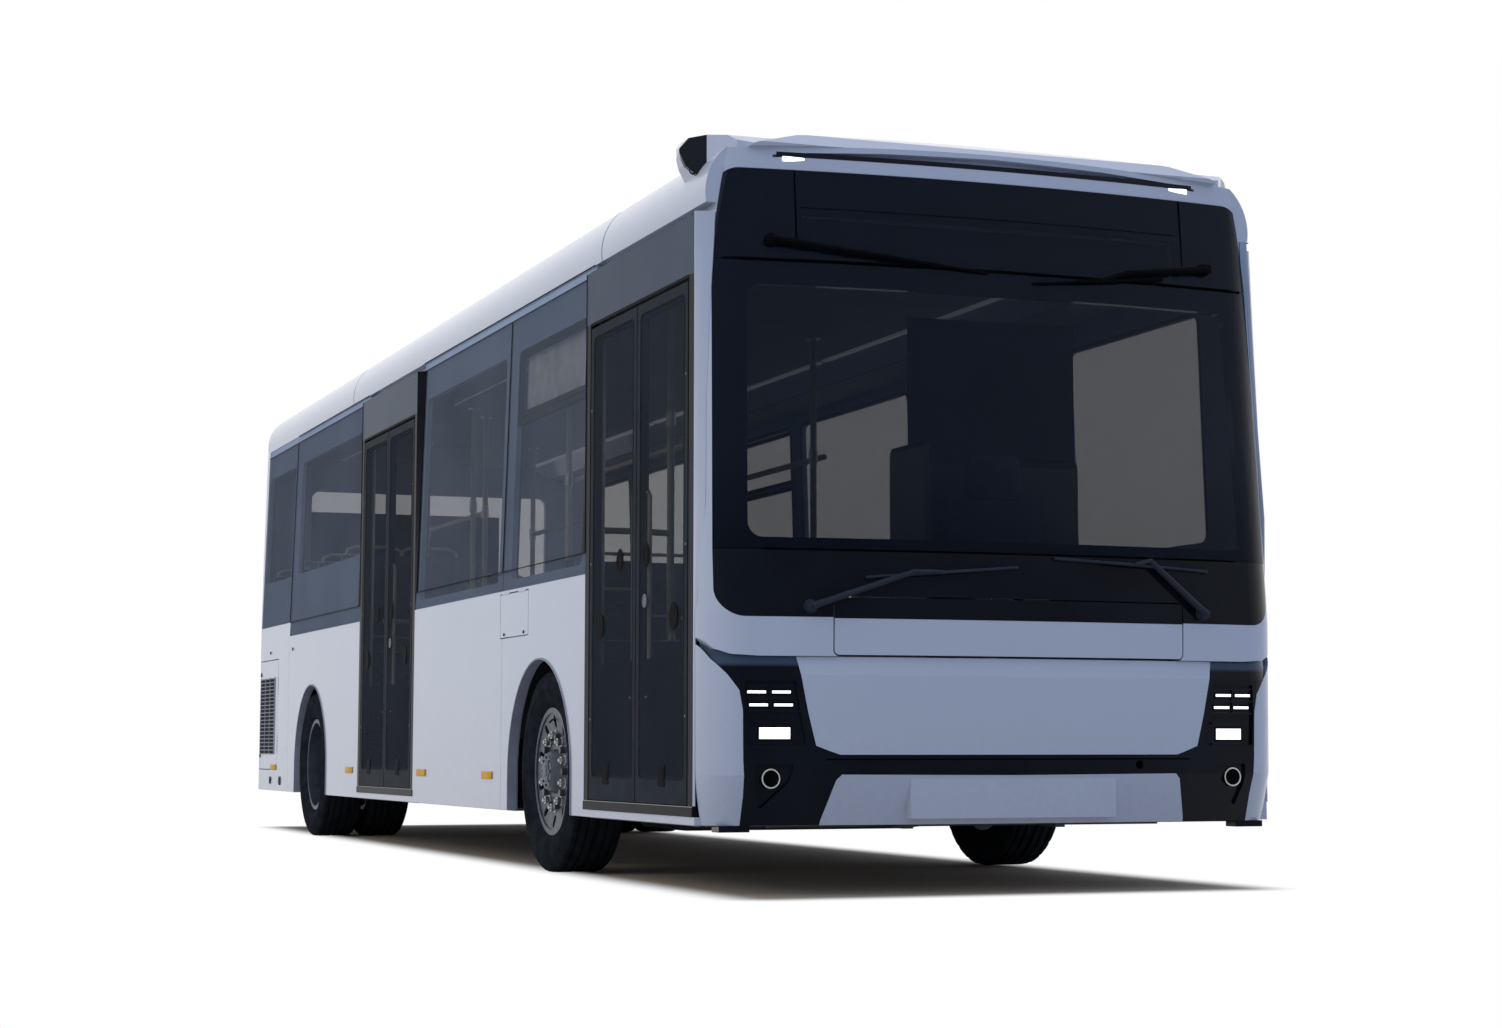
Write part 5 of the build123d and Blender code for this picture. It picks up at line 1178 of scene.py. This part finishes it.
HATCH_YS = (-2.4, -0.5, 3.95)
hatch_z = crown(0.37)
for y in HATCH_YS:
    rows = []
    for up, half in ((0.0, 0.375), (0.03, 0.372), (0.052, 0.35), (0.058, 0.3)):
        rows.append([(cx + 0.06 * c, cy + 0.06 * s, hatch_z - 0.006 + up)
                     for cx, cy, c, s in rounded(-half, half, y - half, y + half, 0.06, 5)])
    shape.rings(rows)
shape.make("roof_hatches", hatch_acrylic, "grey_trim", bevel=0.003)
for y in HATCH_YS:
    for x in (-0.3, 0.3):
        shape.box((x - 0.03, y - 0.4, hatch_z - 0.004), (x + 0.03, y - 0.368, hatch_z + 0.03))
aerial = (0.0, -3.1, crown(0.0))
shape.pin(aerial, -0.002, 0.014, 0.045, 0.04, 32, "Z").pin(aerial, 0.014, 0.06, 0.034, 0.02, 32, "Z")
shape.make("roof_fittings", satin_black, "black_trim", bevel=0.001)


# Upright seams in the coves
def circle_through(a, b, c):
    """Centre of the circle through three points of a plane."""
    d = 2 * (a[0] * (b[1] - c[1]) + b[0] * (c[1] - a[1]) + c[0] * (a[1] - b[1]))
    sa, sb, sc = (p[0] ** 2 + p[1] ** 2 for p in (a, b, c))
    return ((sa * (b[1] - c[1]) + sb * (c[1] - a[1]) + sc * (a[1] - b[1])) / d,
            (sa * (c[0] - b[0]) + sb * (a[0] - c[0]) + sc * (b[0] - a[0])) / d)


COVE = ((1.233, 2.7384), (1.219, 2.868), (1.15, 2.966))
cove_x, cove_z = circle_through(*COVE)
cove_radius = math.hypot(COVE[0][0] - cove_x, COVE[0][1] - cove_z)
cove_from, cove_to = (math.atan2(z - cove_z, x - cove_x) for x, z in (COVE[0], COVE[2]))
for y in (-3.44, 1.93):
    for sign in SIDES:
        rows = []
        for angle in spread(cove_from, cove_to, 12):
            seam = ((0.0006, -0.003), (0.0006, 0.003), (-0.003, 0.003), (-0.003, -0.003))
            rows.append([(sign * (cove_x + (cove_radius + out) * math.cos(angle)), y + dy,
                          cove_z + (cove_radius + out) * math.sin(angle)) for out, dy in seam])
        shape.rings(rows)
shape.make("cove_seams", rubber, "rubber")

# Underbody: brakes, dampers, shaft, air tanks, floor frame and mud flaps
for where, label, sign, x, y, hat, holder, wheel in (
        ("front", "right", -1, 1.118, -2.61, 0.03, "knuckle_right", "front_wheel_right"),
        ("front", "left", 1, 1.118, -2.61, 0.03, "knuckle_left", "front_wheel_left"),
        ("rear", "right", -1, 0.762, 2.965, 0.117, "body", "rear_wheels_right"),
        ("rear", "left", 1, 0.762, 2.965, 0.117, "body", "rear_wheels_left")):
    profile = [(-0.014, 0.096), (-0.014, 0.206), (0.014, 0.206), (0.014, 0.116), (hat, 0.112), (hat, 0.088),
               (0.0, 0.088)]
    shape.turn([(sign * along, r) for along, r in profile], (sign * x, y, HUB_Z), 64)
    shape.make(f"{where}_brake_disc_{label}", steel, "brushed_steel", wheel, bevel=0.0012)
    hub = (y, HUB_Z)
    pads = circle(hub, 0.246, -32, 32, 8) + circle(hub, 0.128, 32, -32, 8)
    bridge = circle(hub, 0.214, -26, 26, 4) + circle(hub, 0.246, 26, -26, 4)
    for outline, low, high in ((pads, -0.046, -0.0175), (pads, 0.0175, 0.026), (bridge, -0.044, 0.025)):
        shape.prism(outline, "X", sign * (x + low), sign * (x + high))
    shape.make(f"{where}_caliper_{label}", chassis_paint, "chassis_paint", holder, bevel=0.004)

shape.pin((0.0, 0.0, HUB_Z), 3.12, 3.485, 0.038, None, 28, "Y")
for y in (3.16, 3.43):
    shape.pin((0.0, y, HUB_Z), -0.024, 0.024, 0.062, None, 28, "Y")
TANK_Y, TANK_Z = 2.42, 0.462
for x0, x1 in ((-0.385, -0.015), (0.015, 0.385)):
    tank = ((x0, 0.045), (x0 + 0.012, 0.085), (x0 + 0.035, 0.108),
            (x1 - 0.035, 0.108), (x1 - 0.012, 0.085), (x1, 0.045))
    shape.rings([[(x, *point) for point in circle((TANK_Y, TANK_Z), r, 0, 360, 32)[:-1]] for x, r in tank])
    for x in (x0 + 0.09, x1 - 0.09):
        strap = [(-0.012, 0.108), (-0.012, 0.111), (0.012, 0.111), (0.012, 0.108)]
        shape.turn(strap, (x, TANK_Y, TANK_Z), 36)
        shape.box((x - 0.012, TANK_Y - 0.004, 0.57), (x + 0.012, TANK_Y + 0.004, 0.652))
for sign in SIDES:
    for radius, sides, path in (
            (0.03, 20, ((0.49, -2.38, 0.27), (0.47, -2.3, 0.5), (0.46, -2.26, 0.68))),
            (0.028, 20, ((0.25, 2.78, 0.42), (0.24, 2.69, 0.56), (0.235, 2.65, 0.7))),
            (0.024, 16, ((0.52, -2.56, 0.25), (0.5, -2.25, 0.262), (0.48, -1.93, 0.262)))):
        shape.tube([(sign * x, y, z) for x, y, z in path], radius, sides)
shape.make("driveline_and_tanks", chassis_paint, "chassis_paint")

for x in (-0.34, 0.34):
    shape.box((x - 0.022, -4.78, 0.252), (x + 0.022, 1.6, 0.2698))
for y in (-4.6, -3.9, -3.3, -1.9, -1.1, -0.3, 0.5, 1.3):
    shape.box((-0.88, y - 0.02, 0.256), (0.88, y + 0.02, 0.2698))
shape.make("floor_frame", chassis_paint, "chassis_paint", bevel=0.002)

for y, x0, x1 in ((-2.025, 0.97, 1.222), (3.6, 0.69, 1.222)):
    for sign in SIDES:
        rows = []
        for z in spread(0.284, 0.62, 8):
            middle = y + 0.01 * ((0.62 - z) / 0.336) ** 2
            rows.append([(sign * x, middle + dy, z)
                         for x, dy in ((x0, -0.004), (x1, -0.004), (x1, 0.004), (x0, 0.004))])
        shape.rings(rows)
shape.make("mud_flaps", rubber, "rubber", bevel=0.001)

# Camera, found from points of the photograph whose places on the bus are known
IMAGE_WIDTH = 1502.0
FOCAL_PIXELS = 2673.85
CENTRE_SHIFT = (23.93, -53.13)
camera_data = bpy.data.cameras.new("camera")
camera_data.sensor_width = 36.0
camera_data.lens = FOCAL_PIXELS / IMAGE_WIDTH * camera_data.sensor_width
camera_data.shift_x = -CENTRE_SHIFT[0] / IMAGE_WIDTH
camera_data.shift_y = CENTRE_SHIFT[1] / IMAGE_WIDTH
camera_data.clip_end = 300.0
camera = bpy.data.objects.new("camera", camera_data)
scene.collection.objects.link(camera)
camera.location = (-4.673, -14.744, 0.576)
yaw, pitch = math.radians(20.67), math.radians(6.124)
camera.rotation_euler = (math.pi / 2 + pitch, 0.0, -yaw)
scene.camera = camera

# World: a pale sky that lights the bus, and plain white where it is seen
SKY_COLOR = (0.58, 0.71, 1.0)
SKY_STRENGTH = 0.69
world = bpy.data.worlds.new("studio")
scene.world = world
world_nodes = Nodes(world)
sky = world_nodes.tree.nodes["Background"]
world_nodes.link(SKY_COLOR, sky.inputs["Color"])
world_nodes.link(SKY_STRENGTH, sky.inputs["Strength"])
bright = world_nodes.new("Background", 0, {"Color": WHITE, "Strength": 1.0})
world_nodes.mix_shader(world_nodes.seen_rays(), sky.outputs[0], bright, "World Output")

for name, place, target, size, power, color in (
        ("key", (-15.0, -4.5, 10.0), (0.0, -0.5, 1.2), (12.0, 7.0), 630.0, (1.0, 0.91, 0.7)),
        ("top", (0.0, 0.0, 12.0), (0.0, 0.0, 0.0), (4.0, 10.0), 700.0, (1.0, 0.97, 0.92)),
        ("back", (9.0, 13.0, 8.0), (0.0, 1.0, 1.5), (9.0, 6.0), 700.0, (0.96, 0.98, 1.0))):
    # A soft rectangular lamp that points at a target
    data = bpy.data.lights.new(name, "AREA")
    data.shape = "RECTANGLE"
    data.size, data.size_y = size
    data.energy = power
    data.color = color
    lamp = bpy.data.objects.new(name, data)
    scene.collection.objects.link(lamp)
    lamp.location = place
    lamp.rotation_euler = (Vector(target) - Vector(place)).to_track_quat("-Z", "Y").to_euler()
    lamp.visible_glossy = False

# Floor: pale, white where it is seen away from the bus; the shadow under the bus is partly real and partly painted:
# the white glow is masked off over the bus's footprint so the real shade shows only there, and the floor's colour
# there is a painted warm shadow tint
REACH = 60.0
# Half sizes of the bus's footprint and the soft edge of the painted shadow mask
PAINTED_SHADOW_HALF = (1.02, 4.98)
PAINTED_SHADOW_SOFT = 0.3
floor_mesh = bpy.data.meshes.new("studio_floor")
floor_mesh.from_pydata([(x * REACH, y * REACH, 0.0) for x, y in ((-1, -1), (1, -1), (1, 1), (-1, 1))],
                       [], [(0, 1, 2, 3)])
floor_object = bpy.data.objects.new("studio_floor", floor_mesh)
scene.collection.objects.link(floor_object)
ground = Finish("studio_floor", (0.7, 0.68, 0.66), 0.9)
floor_mesh.materials.append(ground.mat)
# Painted shadow mask: zero over the bus's footprint, rising to one past its soft edge
split = ground.new("SeparateXYZ", 0, {"Vector": ground.place()}).node
beyond = []
for axis, half in zip("XY", PAINTED_SHADOW_HALF):
    size = ground.maths("ABSOLUTE", split.outputs[axis])
    past = ground.maths("MAXIMUM", ground.maths("SUBTRACT", size, half))
    beyond.append(ground.maths("MULTIPLY", past, past))
distance = ground.maths("SQRT", ground.maths("ADD", *beyond))
fade = ground.new("MapRange", "Result", {"Value": distance, "From Max": PAINTED_SHADOW_SOFT}, interpolation_type="SMOOTHSTEP")
# Painted shadow tint: warm brown inside the footprint, grey outside
ground.set(Base_Color=ground.mix(fade, (0.46, 0.38, 0.29), (0.42, 0.43, 0.45)))
glow = ground.new("Emission", 0, {"Color": WHITE, "Strength": 1.0})
# The white glow is masked off over the footprint, which paints the shadow's outline
seen = ground.maths("MULTIPLY", ground.seen_rays(), fade)
ground.mix_shader(seen, ground.shader.outputs["BSDF"], glow, "Material Output")

scene.view_settings.view_transform = "Standard"
